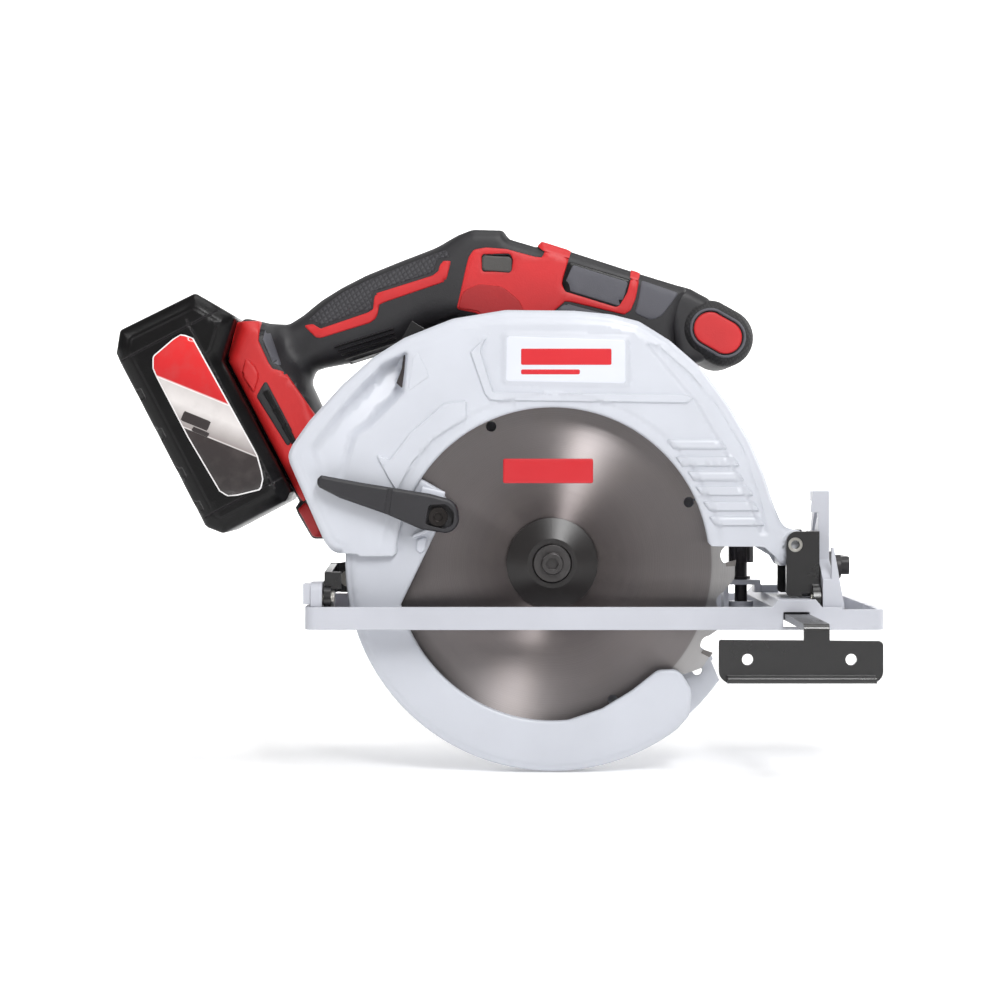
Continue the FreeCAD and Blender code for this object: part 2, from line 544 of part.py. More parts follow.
def make_upper_guard():
    face = slab_y(guard_outer() + guard_window(), GUARD_Y0, GUARD_Y0 + GUARD_WALL)
    face = fillet(face, 1.2, outer_front_edge)
    solid = slab_y(guard_outer() + [(99.0, 31.4, "arc"), (90.8, 36.0), (-86.6, 32.8)],
                   GUARD_Y0 + GUARD_WALL, GUARD_Y1)
    rim_face = Part.Face(outline(guard_outer() + [(99.0, 31.4, "arc"), (90.8, 36.0), (-86.6, 32.8)],
                                 "xz", GUARD_Y0 + GUARD_WALL - 0.01))
    inner = rim_face.makeOffset2D(-GUARD_WALL)
    hollow = inner.extrude(V(0, GUARD_Y1 - GUARD_Y0 - 2 * GUARD_WALL + 0.01, 0))
    below = box(-84.0, 88.0, GUARD_Y0 + GUARD_WALL - 0.01, GUARD_Y1 - GUARD_WALL, 20, 40)
    rear_below = box(-94.4, -80.0, GUARD_Y0 + GUARD_WALL - 0.01, GUARD_Y1 - GUARD_WALL, 20, 40)
    solid = solid.cut(hollow).cut(below).cut(rear_below)
    # the far wall keeps a round lobe about the spindle for the gear case
    lobe = cyl_y(0, SPINDLE_Z, GUARD_Y1 - GUARD_WALL, GUARD_Y1, 25.0)
    guard = fuse(face, solid, lobe)
    guard = guard.cut(cyl_y(0, SPINDLE_Z, 0, GUARD_Y1 + 1, HUB_R + 0.2))
    lug = ring_y(DEPTH_X, DEPTH_Z, GUARD_Y0, GUARD_Y1, 6.6, DEPTH_PIN_R + FIT)
    guard = guard.fuse(lug).cut(cyl_y(DEPTH_X, DEPTH_Z, -30, 30, DEPTH_PIN_R + FIT))
    x, z = on_guide(GUIDE_START)
    boss = cyl_y(x, z, GUARD_Y1 - GUARD_WALL, GUIDE_Y0 - 0.3, 6.0)
    web = slab_y([(x - 8, z + 3), (x + 8, z + 3), (x + 9, z + 16), (x - 11, z + 16)], GUARD_Y1 - GUARD_WALL, GUARD_Y1)
    guard = guard.fuse(boss).fuse(web).cut(cyl_y(x, z, 10, 30, 2.9))
    for x, z in GEARCASE_SCREWS:
        guard = guard.cut(cyl_y(x, z, 10, 30, 2.0))
    # chip outlet: an opening through the face at the rear, with a scoop beside it
    outlet = slab_y(rounded([
        (-85.0, 108.4), (-63.6, 122.2), (-65.4, 103.4), (-81.5, 89.5), (-91.0, 91.0),
    ], [3, 2, 3, 4, 4]), GUARD_Y0 - 1, GUARD_Y0 + GUARD_WALL + 0.5)
    guard = guard.cut(outlet)
    scoop = slab_y([(-63.0, 122.0), (-60.4, 124.6), (-53.6, 112.4), (-64.2, 103.2)],
                   GUARD_Y0 + GUARD_WALL - 0.6, GUARD_Y0 + GUARD_WALL + 1.6)
    guard = guard.fuse(scoop)
    # raised panel frame and three grip ribs on the face
    panel = rounded([(-22.9, 131.0), (34.2, 128.6), (34.2, 106.4), (-22.9, 107.0)], 3.0)
    inner_panel = rounded([(-21.7, 129.8), (33.0, 127.4), (33.0, 107.6), (-21.7, 108.2)], 2.2)
    frame = slab_y(panel, GUARD_Y0 - 0.5, GUARD_Y0 + 0.5).cut(slab_y(inner_panel, GUARD_Y0 - 1, GUARD_Y0 + 1))
    guard = guard.fuse(frame)
    for x0, x1, z_top in ((52.5, 77.0, 81.5), (61.0, 83.5, 68.0), (66.5, 88.0, 54.8)):
        rib = slab_y(rounded([(x0, z_top), (x1 - 2.5, z_top), (x1, z_top - 5.0), (x0 + 4.0, z_top - 5.0)], 1.0),
                     GUARD_Y0 - 0.6, GUARD_Y0 + 0.5)
        guard = guard.fuse(rib)
    return guard.removeSplitter()


def outer_front_edge(edge):
    """Edges of the face plate that lie on its outside and on its outer outline."""
    bounds = edge.BoundBox
    on_face = abs(bounds.YMin - GUARD_Y0) < 0.01 and abs(bounds.YMax - GUARD_Y0) < 0.01
    middle = edge.valueAt((edge.FirstParameter + edge.LastParameter) / 2)
    far_out = math.hypot(middle.x, middle.z - SPINDLE_Z) > WINDOW_R + 12 and middle.z > 52
    return on_face and far_out


def make_lower_guard():
    """Near flange with its tongue and rounded nose, rim, far plate with hub ring."""
    flange_points = [
        (61.4, -30.0), (57.5, -41.0, "arc"),
        polar(0, SPINDLE_Z, LOWER_R_OUT, 302),
        polar(0, SPINDLE_Z, LOWER_R_OUT, 235) + ("arc",),
        polar(0, SPINDLE_Z, LOWER_R_OUT, LOWER_A0),
        (-70.0, 70.5), (-58.0, 66.0), (-48.5, 60.5), (-46.5, 55.0), (-52.2, 41.5), (-66.6, 9.0),
        polar(0, SPINDLE_Z, LOWER_BORE, 230) + ("arc",),
        polar(0, SPINDLE_Z, LOWER_BORE, 274),
        (23.0, -35.0, "arc"), (38.6, -26.4), (44.3, -21.3, "arc"), (51.0, -19.4), (59.0, -23.0, "arc"),
    ]
    flange = slab_y(flange_points, LOWER_Y0, LOWER_Y0 + 1.5)
    rim = slab_y(sector(0, SPINDLE_Z, LOWER_R_IN, LOWER_R_OUT, LOWER_A0, 302), LOWER_Y0, LOWER_Y1 - 1.0)
    plate = slab_y([
        polar(0, SPINDLE_Z, LOWER_R_OUT, 326),
        polar(0, SPINDLE_Z, LOWER_R_OUT, 238) + ("arc",),
        polar(0, SPINDLE_Z, LOWER_R_OUT, LOWER_A0),
        polar(0, SPINDLE_Z, 24.0, 128),
        polar(0, SPINDLE_Z, 24.0, 235) + ("arc",),
        polar(0, SPINDLE_Z, 24.0, 345),
        (57.0, -4.0), (71.0, -12.0), (73.5, -17.0, "arc"),
    ], LOWER_Y1 - 2.6, LOWER_Y1 - 1.0)
    hub = ring_y(0, SPINDLE_Z, LOWER_Y1 - 2.6, LOWER_Y1 + 3.0, HUB_R + 4.0, HUB_R + FIT)
    guard = fuse(flange, rim, plate, hub)
    guard = guard.cut(cyl_y(0, SPINDLE_Z, -5, 30, HUB_R + FIT))
    guard = guard.cut(cyl_y(65.5, -20.3, 0, 20, 2.2))
    ledge = box(-62.0, -52.6, LOWER_Y0 - 3.0, LOWER_Y0 + 0.5, 41.2, 42.8)
    ledge.rotate(V(-57.5, 0, 42), V(0, 1, 0), 22)
    tab = box(-58.2, -47.6, LOWER_Y0 - 5.5, LOWER_Y0 + 0.5, 58.2, 61.6)
    tab = fillet(tab, 1.2, lambda e: e.BoundBox.YLength > 3)
    tab.rotate(V(-53, 0, 60), V(0, 1, 0), 13)
    post = cyl_y(LEVER_X, LEVER_Z, -16.9, LOWER_Y0 + 1.0, 6.0)
    guard = fuse(guard, ledge, tab, post)
    guard = guard.cut(cyl_y(LEVER_X, LEVER_Z, -30, LOWER_Y0 + 2, 2.0))
    # hole for the return spring's hook
    guard = guard.cut(cyl_y(-22.0, 4.0, 0, 20, 1.2))
    return guard.removeSplitter()


def make_guard_lever():
    """Moulded thumb lever, screwed to the lower guard's post in front of the upper guard."""
    arm = slab_y([
        (-103.4, 66.2), (-103.6, 64.0, "arc"), (-102.6, 62.2), (-93.6, 57.6), (-73.0, 50.4),
        (-58.0, 43.8), (-47.5, 42.2), (-42.4, 45.0, "arc"), (-41.6, 50.4),
        (-42.6, 54.6, "arc"), (-46.6, 57.4), (-54.0, 59.4), (-84.8, 64.4), (-102.0, 67.6),
    ], -24.6, -17.0)
    arm = fillet(arm, 1.6, lambda e: abs(e.BoundBox.YMin + 24.6) < 0.01 and e.BoundBox.YLength < 0.01)
    recess = slab_y(rounded([(-54.6, 54.6), (-47.0, 55.0), (-43.4, 51.5), (-43.8, 45.8), (-48.0, 44.0),
                             (-56.2, 46.0)], [1.5, 2.5, 3.0, 3.0, 2.5, 1.5]), -26, -20.0)
    groove = slab_y([(-72.0, 66.0), (-69.8, 66.0), (-72.6, 46.0), (-75.0, 46.0)], -26, -24.0)
    lever = arm.cut(recess).cut(groove)
    lever = lever.cut(cyl_y(LEVER_X, LEVER_Z, -30, -10, 2.1))
    return lever.removeSplitter()


def make_guard_spring():
    """Coil spring between the two guards, wound about the hub."""
    rings = [ring_y(0, SPINDLE_Z, y, y + 0.9, HUB_R + 6.6, HUB_R + 5.4) for y in (10.2, 11.6, 13.0)]
    hook = box(-(HUB_R + 7.5), -(HUB_R + 5.6), 10.3, 13.8, SPINDLE_Z - 0.5, SPINDLE_Z + 0.5)
    return fuse(*rings, hook)


# ---------------------------------------------------------------- blade and spindle
def make_blade():
    """Saw blade: plate with gullets, carbide teeth, expansion slots and holes."""
    root = BLADE_R - 7.0
    body_r = BLADE_R - 0.6
    blade = cyl_y(0, SPINDLE_Z, -BLADE_T / 2, BLADE_T / 2, body_r)
    pitch = 360.0 / TEETH
    for index in range(TEETH):
        face = 1.0 + pitch * index
        gullet = slab_y([
            polar(0, SPINDLE_Z, BLADE_R + 2, face),
            polar(0, SPINDLE_Z, root + 1.6, face - 1.0),
            polar(0, SPINDLE_Z, root, face + 1.6) + ("arc",),
            polar(0, SPINDLE_Z, root + 2.0, face + 4.2),
            polar(0, SPINDLE_Z, body_r - 1.6, face + 7.4),
            polar(0, SPINDLE_Z, BLADE_R + 2, face + 11.6),
        ], -3, 3)
        blade = blade.cut(gullet)
    for index in range(4):
        angle = SLOT_ANGLE + 90 * index
        x0, z0 = polar(0, SPINDLE_Z, 67.0, angle)
        blade = blade.cut(cyl_y(x0, z0, -3, 3, 2.3))
        slit = box(67.0, BLADE_R + 3, -3, 3, -0.45, 0.45)
        slit.rotate(V(0, 0, 0), V(0, 1, 0), -angle)
        slit.translate(V(0, 0, SPINDLE_Z))
        blade = blade.cut(slit)
    for tip in make_teeth():
        blade = blade.cut(tip)
    return blade.cut(cyl_y(0, SPINDLE_Z, -5, 5, BORE_R)).removeSplitter()


def make_teeth():
    """Carbide tips, one brazed in front of each tooth."""
    teeth = []
    pitch = 360.0 / TEETH
    for index in range(TEETH):
        face = 1.0 + pitch * index
        tip = slab_y([
            polar(0, SPINDLE_Z, BLADE_R, face - 0.1),
            polar(0, SPINDLE_Z, BLADE_R - 4.6, face - 0.75),
            polar(0, SPINDLE_Z, BLADE_R - 4.6, face - 2.1),
            polar(0, SPINDLE_Z, BLADE_R - 0.4, face - 1.9),
        ], -KERF / 2, KERF / 2)
        teeth.append(tip)
    return teeth


def make_spindle():
    shaft = cyl_y(0, SPINDLE_Z, -0.7, 45.5, 6.0 - FIT)
    seat = cyl_y(0, SPINDLE_Z, 0.6, 6.4, 8.0)
    shaft = fuse(shaft, seat, cyl_y(0, SPINDLE_Z, -3.4, 0.7, 6.0 - FIT))
    return shaft.cut(cyl_y(0, SPINDLE_Z, -10, 16, 3.0)).removeSplitter()


def make_outer_flange():
    cone = cone_y(0, SPINDLE_Z, -4.6, 11.0, -1.9, FLANGE_R)
    disc = cyl_y(0, SPINDLE_Z, -1.9, -BLADE_T / 2, FLANGE_R)
    return fuse(cone, disc).cut(cyl_y(0, SPINDLE_Z, -10, 5, 6.0)).removeSplitter()


def make_inner_flange():
    disc = fuse(cyl_y(0, SPINDLE_Z, BLADE_T / 2, 4.6, 17.6), cyl_y(0, SPINDLE_Z, -BLADE_T / 2, 1.0, BORE_R))
    return disc.cut(cyl_y(0, SPINDLE_Z, -5, 10, 8.0)).removeSplitter()


def make_blade_bolt():
    """Socket head bolt with its washer under the head."""
    head = cyl_y(0, SPINDLE_Z, -9.8, -6.2, 4.9)
    head = fillet(head, 0.6, lambda e: abs(e.BoundBox.YMax + 9.8) < 0.01)
    collar = cone_y(0, SPINDLE_Z, -6.2, 8.2, -4.6, 8.9)
    shank = cyl_y(0, SPINDLE_Z, -4.7, 14.0, 3.0)
    hexagon = [polar(0, SPINDLE_Z, 2.9, 60 * index) for index in range(6)]
    return fuse(head, collar, shank).cut(slab_y(hexagon, -12, -7.2)).removeSplitter()


def gear_profile(x, z, teeth, phase):
    """Toothed outline with straight flanks and slack, so that a pair runs free."""
    pitch_r = MODULE * teeth / 2
    step = 360.0 / teeth
    points = []
    for index in range(teeth):
        middle = phase + step * index
        points.append(polar(x, z, pitch_r - 0.95 * MODULE, middle - 0.30 * step))
        points.append(polar(x, z, pitch_r + 0.60 * MODULE, middle - 0.10 * step))
        points.append(polar(x, z, pitch_r + 0.60 * MODULE, middle + 0.10 * step))
        points.append(polar(x, z, pitch_r - 0.95 * MODULE, middle + 0.30 * step))
    return points


def make_large_gear():
    gear = slab_y(gear_profile(0, SPINDLE_Z, GEAR_TEETH, MOTOR_ANGLE), 29.0, 39.0)
    gear = gear.cut(ring_y(0, SPINDLE_Z, 28, 31.5, 16.5, 9.5)).cut(ring_y(0, SPINDLE_Z, 36.5, 40, 16.5, 9.5))
    return gear.cut(cyl_y(0, SPINDLE_Z, 20, 50, 6.0 - FIT)).removeSplitter()


def make_bearing(x, z, y0, y1, r_out, r_in):
    """Two rings and a shield, drawn as one sealed bearing."""
    body = ring_y(x, z, y0, y1, r_out, r_in)
    for y in (y0, y1):
        groove = ring_y(x, z, y - 0.4, y + 0.4, r_in + (r_out - r_in) * 0.7, r_in + (r_out - r_in) * 0.3)
        body = body.cut(groove)
    return body.removeSplitter()


# ---------------------------------------------------------------- gear case and motor
def make_gear_case():
    """Cup for the gears with the nose that carries the lower guard."""
    case = fuse(
        cyl_y(0, SPINDLE_Z, GUARD_Y1, 41.0, 23.8),
        cyl_y(MOTOR_X, MOTOR_Z, GUARD_Y1, 41.0, 18.0),
        slab_y([(-21.0, 36.0), (-30.0, 41.0), (-30.0, 50.0), (-16.0, 87.0), (-8.0, 87.0), (38.0, 74.0),
                (38.0, 66.0), (31.0, 40.0), (22.0, 36.0)], GUARD_Y1, 25.0),
        cyl_y(0, SPINDLE_Z, NOSE_Y, GUARD_Y1, HUB_R))
    case = case.cut(cyl_y(0, SPINDLE_Z, 27.0, 42, 21.6)).cut(cyl_y(MOTOR_X, MOTOR_Z, 27.0, 42, 14.0))
    case = case.cut(cyl_y(0, SPINDLE_Z, 0, 30, 9.0)).cut(cyl_y(0, SPINDLE_Z, 8.0, 16.0, 14.0))
    case = case.cut(cyl_y(0, SPINDLE_Z, 0, 8.0, 14.0))
    for x, z in GEARCASE_SCREWS:
        case = case.cut(cyl_y(x, z, 15, 24.0, 2.0))
    x, z, y = lock_place()
    case = case.cut(cyl_x(y, z, 20, 30, 3.0 + FIT))
    return case.removeSplitter()


def lock_place():
    return 24.6, SPINDLE_Z, 34.0


def make_gear_cover():
    """Bearing plate that closes the gear case and carries the motor."""
    plate = fuse(cyl_y(0, SPINDLE_Z, 41.0, 46.0, 23.8), cyl_y(MOTOR_X, MOTOR_Z, 41.0, 47.0, 33.0))
    plate = plate.cut(cyl_y(0, SPINDLE_Z, 40, 45.6, 9.5))
    plate = plate.cut(cyl_y(MOTOR_X, MOTOR_Z, 40, 48, 4.0)).cut(cyl_y(MOTOR_X, MOTOR_Z, 42.5, 48, 6.5))
    return plate.removeSplitter()


def make_motor_housing():
    tube = ring_y(MOTOR_X, MOTOR_Z, 47.0, 118.0, MOTOR_R, MOTOR_R - 2.4)
    for index in range(12):
        slot = box(MOTOR_R - 4, MOTOR_R + 2, 50.0, 57.0, -2.2, 2.2)
        slot.rotate(V(0, 0, 0), V(0, 1, 0), 30 * index)
        slot.translate(V(MOTOR_X, 0, MOTOR_Z))
        tube = tube.cut(slot)
    return tube


def make_motor_cap():
    """Rear cap with inlet vents and the seat for the rear rotor bearing."""
    cap = cyl_y(MOTOR_X, MOTOR_Z, 118.0, MOTOR_Y1, MOTOR_R)
    cap = fillet(cap, 4.0, lambda e: abs(e.BoundBox.YMin - MOTOR_Y1) < 0.01)
    cap = cap.cut(cyl_y(MOTOR_X, MOTOR_Z, 117, MOTOR_Y1 - 2.4, MOTOR_R - 3.0))
    seat = ring_y(MOTOR_X, MOTOR_Z, 118.5, MOTOR_Y1 - 2.0, 9.0, 6.5)
    for index in range(10):
        slot = box(11.0, 23.0, 117, MOTOR_Y1 + 1, -1.6, 1.6)
        slot.rotate(V(0, 0, 0), V(0, 1, 0), 36 * index)
        slot.translate(V(MOTOR_X, 0, MOTOR_Z))
        cap = cap.cut(slot)
    return cap.fuse(seat).removeSplitter()


def make_stator():
    core = ring_y(MOTOR_X, MOTOR_Z, 62.0, 104.0, MOTOR_R - 2.4, 18.0)
    for index in range(6):
        slot = box(17.0, 24.5, 61, 105, -2.0, 2.0)
        slot.rotate(V(0, 0, 0), V(0, 1, 0), 60 * index + 30)
        slot.translate(V(MOTOR_X, 0, MOTOR_Z))
        core = core.cut(slot)
    return core.removeSplitter()


def make_rotor_shaft():
    shaft = fuse(
        cyl_y(MOTOR_X, MOTOR_Z, 39.4, 60.0, 2.5 - FIT),
        cyl_y(MOTOR_X, MOTOR_Z, 60.0, 106.0, 4.0),
        cyl_y(MOTOR_X, MOTOR_Z, 106.0, MOTOR_Y1 - 3.0, 2.5 - FIT))
    phase = MOTOR_ANGLE + 180 + 180.0 / PINION_TEETH
    pinion = slab_y(gear_profile(MOTOR_X, MOTOR_Z, PINION_TEETH, phase), 29.5, 39.5)
    return shaft.fuse(pinion).removeSplitter()


def make_fan():
    disc = ring_y(MOTOR_X, MOTOR_Z, 49.0, 50.6, 26.5, 2.5 - FIT)
    hub = ring_y(MOTOR_X, MOTOR_Z, 49.0, 57.0, 6.0, 2.5 - FIT)
    blades = []
    for index in range(11):
        blade = box(5.5, 26.0, 50.0, 57.0, -0.6, 0.6)
        blade.rotate(V(0, 0, 0), V(0, 1, 0), 360.0 / 11 * index)
        blade.translate(V(MOTOR_X, 0, MOTOR_Z))
        blades.append(blade)
    return fuse(disc, hub, *blades)


# ---------------------------------------------------------------- handle
def on_foot(u, d):
    """A point beside the battery's interface line: u towards the handle, d down along the line."""
    tilt = math.radians(BATTERY_TILT)
    return (FOOT_X + u * math.cos(tilt) + d * math.sin(tilt), FOOT_Z + u * math.sin(tilt) - d * math.cos(tilt))


def foot_points(points):
    return [on_foot(*point[:2]) + tuple(point[2:]) for point in points]


def handle_outline():
    return [
        on_foot(0, 0), on_foot(15.8, -14.6), on_foot(24.6, -7.6), (-122.0, 136.8),
        (-114.6, 142.4, "arc"), (-106.0, 149.4), (-93.0, 157.6, "arc"), (-79.0, 163.4),
        (-50.8, 174.0), (-42.5, 178.2), (-36.0, 180.6, "arc"), (-28.0, 180.9), (-21.9, 180.4), (-19.3, 176.2),
        (-6.1, 172.4), (-4.0, 174.6), (-1.0, 174.2), (9.6, 170.3), (37.5, 161.3), (64.0, 153.2),
        (60.5, 146.0), (57.0, 134.0, "arc"), (58.0, 121.0), (50.0, 100.0), (44.0, 76.0), (40.5, 40.0),
        (26.0, 20.0), (-14.0, 20.0), (-32.0, 38.0), (-44.0, 50.0), (-93.0, 50.0), on_foot(9.0, 88.0),
        on_foot(4.0, 93.5), on_foot(-2.6, 90.0), on_foot(-3.4, 74.0), on_foot(0, 72.0),
    ]


def finger_hole():
    return [
        (-110.6, 108.0), (-111.4, 113.0), (-107.6, 116.2, "arc"), (-104.0, 117.4), (-90.0, 120.0), (-70.0, 126.8),
        (-56.0, 135.4), (-42.0, 140.4), (-36.0, 138.0, "arc"), (-34.0, 132.0), (-31.0, 112.0), (-27.0, 94.0),
        (-27.4, 90.0, "arc"), (-30.0, 87.0), (-46.0, 70.0), (-50.0, 67.6, "arc"), (-55.0, 67.0),
        (-84.0, 67.0), (-90.0, 69.0, "arc"), (-94.0, 74.0),
    ]


def trigger_outline():
    return [
        (-67.0, 128.0), (-58.0, 124.6), (-52.0, 123.6, "arc"), (-46.5, 125.0), (-43.0, 131.0, "arc"),
        (-41.5, 138.0), (-44.0, 146.0), (-66.0, 138.5),
    ]


def moved(shape, x, z):
    copy = shape.copy()
    copy.translate(V(x, 0, z))
    return copy


def make_handle():
    """The whole handle as one hollow form; the two shells are its halves."""
    form = slab_y(handle_outline(), HANDLE_Y - HANDLE_HALF, HANDLE_Y + HANDLE_HALF)
    form = form.cut(slab_y(finger_hole(), 0, 100))
    form = fillet(form, 3.0, grip_edge)
    foot = slab_y([
        on_foot(0, 0), on_foot(15.8, -14.6), on_foot(24.6, -7.6), on_foot(25.6, 8.0), on_foot(27.8, 30.0),
        (-107.6, 98.0), (-94.0, 74.0), (-86.0, 50.0), (-93.0, 50.0), on_foot(9.0, 88.0), on_foot(4.0, 93.5),
        on_foot(-2.6, 90.0), on_foot(-3.4, 74.0), on_foot(0, 72.0),
    ], HANDLE_Y - FOOT_HALF, HANDLE_Y + FOOT_HALF)
    form = form.fuse(foot)
    # rail channel for the battery, open at its upper end
    form = form.cut(slab_y(foot_points([(-1, -20), (-1, 67), (4.7, 67), (4.7, -20)]),
                           HANDLE_Y - 12.3, HANDLE_Y + 12.3))
    form = form.cut(slab_y(foot_points([(4.3, -20), (4.3, 67), (8.3, 67), (8.3, -20)]),
                           HANDLE_Y - 15.3, HANDLE_Y + 15.3))
    form = form.cut(terminal_form())
    # motor and gear case pass through
    form = form.cut(cyl_y(MOTOR_X, MOTOR_Z, 0, 47.0, 33.2)).cut(cyl_y(MOTOR_X, MOTOR_Z, 40, 130, MOTOR_R))
    form = form.cut(box(-95, -84, 0, 31.0, 40, 66))
    form = form.cut(cyl_y(0, SPINDLE_Z, 0, 47.0, 24.0)).cut(box(10.0, 50.0, 0, 47.0, 0, 44.0))
    # hollows: grip, front column, rear strut, lower strut
    y0 = HANDLE_Y - HANDLE_HALF + 3.0
    y1 = HANDLE_Y + HANDLE_HALF - 3.0
    grip_hollow = [(-113.0, 124.0), (-99.0, 144.0), (-79.0, 155.5), (-48.0, 167.5), (-40.0, 160.0), (-38.0, 144.0),
                   (-58.0, 141.0), (-72.0, 133.0), (-92.0, 125.0)]
    front_hollow = [(-34.0, 170.0), (-24.0, 170.0), (-6.0, 166.0), (10.0, 164.0), (36.0, 155.0), (54.0, 148.0),
                    (52.0, 118.0), (40.0, 90.0), (26.0, 86.5), (-14.0, 88.5), (-22.0, 96.0), (-28.0, 128.0),
                    (-34.0, 146.0)]
    strut_hollow = foot_points([(12.0, -2.0), (21.0, 0.0), (23.0, 30.0), (20.0, 70.0), (12.0, 76.0)])
    for points in (grip_hollow, front_hollow, strut_hollow):
        form = form.cut(slab_y(rounded(points, 3.0), y0, y1))
    # trigger opening, wide enough for its whole travel
    trigger = slab_y(trigger_outline(), HANDLE_Y - 8.4, HANDLE_Y + 8.4)
    for step in range(4):
        travel = TRIGGER_TRAVEL * step / 3
        form = form.cut(moved(trigger, TRIGGER_WAY[0] * travel, TRIGGER_WAY[1] * travel))
    form = form.cut(slab_y([(-70.5, 127.0), (-69.5, 146.0), (-40.0, 155.0), (-39.5, 137.5), (-56.0, 133.0)],
                           HANDLE_Y - 8.4, HANDLE_Y + 8.4))
    # lock-off button's window
    x, z = LOCK_OFF
    window = rounded([(x - 7.2, z - 3.6), (x + 7.2, z - 4.6), (x + 7.2, z + 3.2), (x - 7.2, z + 4.2)], 2.0)
    form = form.cut(slab_y(window, 20, HANDLE_Y))
    for x, z in SHELL_SCREWS:
        form = form.fuse(cyl_y(x, z, y0 - 1, y1 + 1, 4.0)).cut(cyl_y(x, z, y0 + 5, 80, 1.6))
        form = form.cut(cyl_y(x, z, HANDLE_Y + HANDLE_HALF - 6.5, 90, 3.4))
    # seat for the rubber along the top of the grip
    form = form.cut(rubber_form(0))
    return form.removeSplitter()


def terminal_form():
    """Contact block in the bottom of the rail channel."""
    return slab_y(foot_points([(8.4, 44.0), (8.4, 62.0), (11.8, 62.0), (11.8, 44.0)]), HANDLE_Y - 9.0, HANDLE_Y + 9.0)


def rubber_form(slack):
    """Rubber strip along the top of the grip and over the thumb rest."""
    return slab_y([
        (-112.0, 144.6), (-106.0, 149.6), (-93.0, 157.8, "arc"), (-79.0, 163.6),
        (-50.8, 174.2), (-42.5, 178.4), (-36.0, 180.8, "arc"), (-28.0, 181.1), (-21.9, 180.6), (-20.4, 178.0),
        (-27.0, 177.0), (-36.0, 176.8, "arc"), (-42.0, 175.0), (-50.0, 171.0), (-78.0, 160.4),
        (-92.0, 154.6, "arc"), (-104.0, 147.2),
    ], HANDLE_Y - 12.0 + slack, HANDLE_Y + 12.0 - slack)


def grip_edge(edge):
    """Long edges of the handle's two outer faces along the grip's upper side and the finger hole."""
    bounds = edge.BoundBox
    on_side = bounds.YLength < 0.01 and abs(abs(bounds.YMin - HANDLE_Y) - HANDLE_HALF) < 0.01
    top = bounds.ZMin > 143.0 and bounds.XMax < -50.0
    return on_side and top and edge.Length > 5


def make_front_grip():
    """Auxiliary grip: an oval bar along Y that the handle's front end holds."""
    bar = grip_oval(17.6, 13.6, 26.2, 94.0)
    bar = fillet(bar, 4.0, lambda e: e.BoundBox.YLength < 0.01)
    bar = bar.cut(grip_oval(11.4, 7.0, 20.0, 27.6)).cut(grip_oval(11.4, 7.0, 92.6, 100.0))
    neck = slab_y([(64.0, 153.2), (74.0, 149.0), (72.0, 118.0), (58.0, 121.0), (57.0, 134.0, "arc"),
                   (60.5, 146.0)], HANDLE_Y - HANDLE_HALF + 1.5, HANDLE_Y + HANDLE_HALF - 1.5)
    return bar.fuse(neck).removeSplitter()


def grip_oval(half_long, half_short, y0, y1):
    """Rounded-end bar section, its long side sloping down to the front."""
    straight = half_long - half_short
    slab = slab_y([
        (-straight, half_short), (straight, half_short), (half_long, 0, "arc"), (straight, -half_short),
        (-straight, -half_short), (-half_long, 0, "arc"),
    ], y0, y1)
    slab.rotate(V(0, 0, 0), V(0, 1, 0), 30)
    slab.translate(V(GRIP_X, 0, GRIP_Z))
    return slab


def make_grip_insets():
    return grip_oval(11.4, 7.0, 26.4, 27.6), grip_oval(11.4, 7.0, 92.6, 93.8)


def make_trigger():
    trigger = slab_y(trigger_outline(), HANDLE_Y - 8.0, HANDLE_Y + 8.0)
    return fillet(trigger, 1.6, lambda e: e.BoundBox.YLength < 0.01 and e.BoundBox.ZMax < 132.0)


def make_lock_off():
    x, z = LOCK_OFF
    pad = slab_y(rounded([(x - 6.9, z - 3.3), (x + 6.9, z - 4.3), (x + 6.9, z + 2.9), (x - 6.9, z + 3.9)], 1.8),
                 HANDLE_Y - HANDLE_HALF - 1.4, HANDLE_Y - 8.0)
    return fillet(pad, 0.8, lambda e: abs(e.BoundBox.YMax - (HANDLE_Y - HANDLE_HALF - 1.4)) < 0.01)


# ---------------------------------------------------------------- battery
def battery_profile():
    return foot_points([
        (-42.0, -26.0), (-36.0, -34.0), (2.7, -33.0), (14.2, -15.2), (-0.3, -0.4), (-0.3, 66.0), (-3.0, 69.3),
        (-36.0, 69.5), (-42.0, 63.4),
    ])


def battery_hollow():
    return foot_points([(-40.0, -30.0), (-2.2, -30.0), (-2.2, 66.4), (-40.0, 66.4)])


def make_battery_case():
    """The case split lengthwise into the rail half and the outer half."""
    block = slab_y(battery_profile(), BATTERY_Y0, BATTERY_Y1)
    block = fillet(block, 3.0, lambda e: e.BoundBox.YLength < 0.01)
    rail = fuse(
        slab_y(foot_points([(-1, -6), (-1, 66), (4.4, 66), (4.4, -6)]), HANDLE_Y - 12.0, HANDLE_Y + 12.0),
        slab_y(foot_points([(4.6, -6), (4.6, 66), (8.0, 66), (8.0, -6)]), HANDLE_Y - 15.0, HANDLE_Y + 15.0),
        slab_y(foot_points([(4.0, -6), (4.0, 66), (4.8, 66), (4.8, -6)]), HANDLE_Y - 12.0, HANDLE_Y + 12.0))
    block = block.fuse(rail).cut(slab_y(battery_hollow(), BATTERY_Y0 + 2.4, BATTERY_Y1 - 2.4))
    block = block.cut(latch_form(0.3))
    outer_side = slab_y(foot_points([(-60, -60), (-21, -60), (-21, 100), (-60, 100)]), 0, 100)
    return block.cut(outer_side).removeSplitter(), block.common(outer_side).removeSplitter()


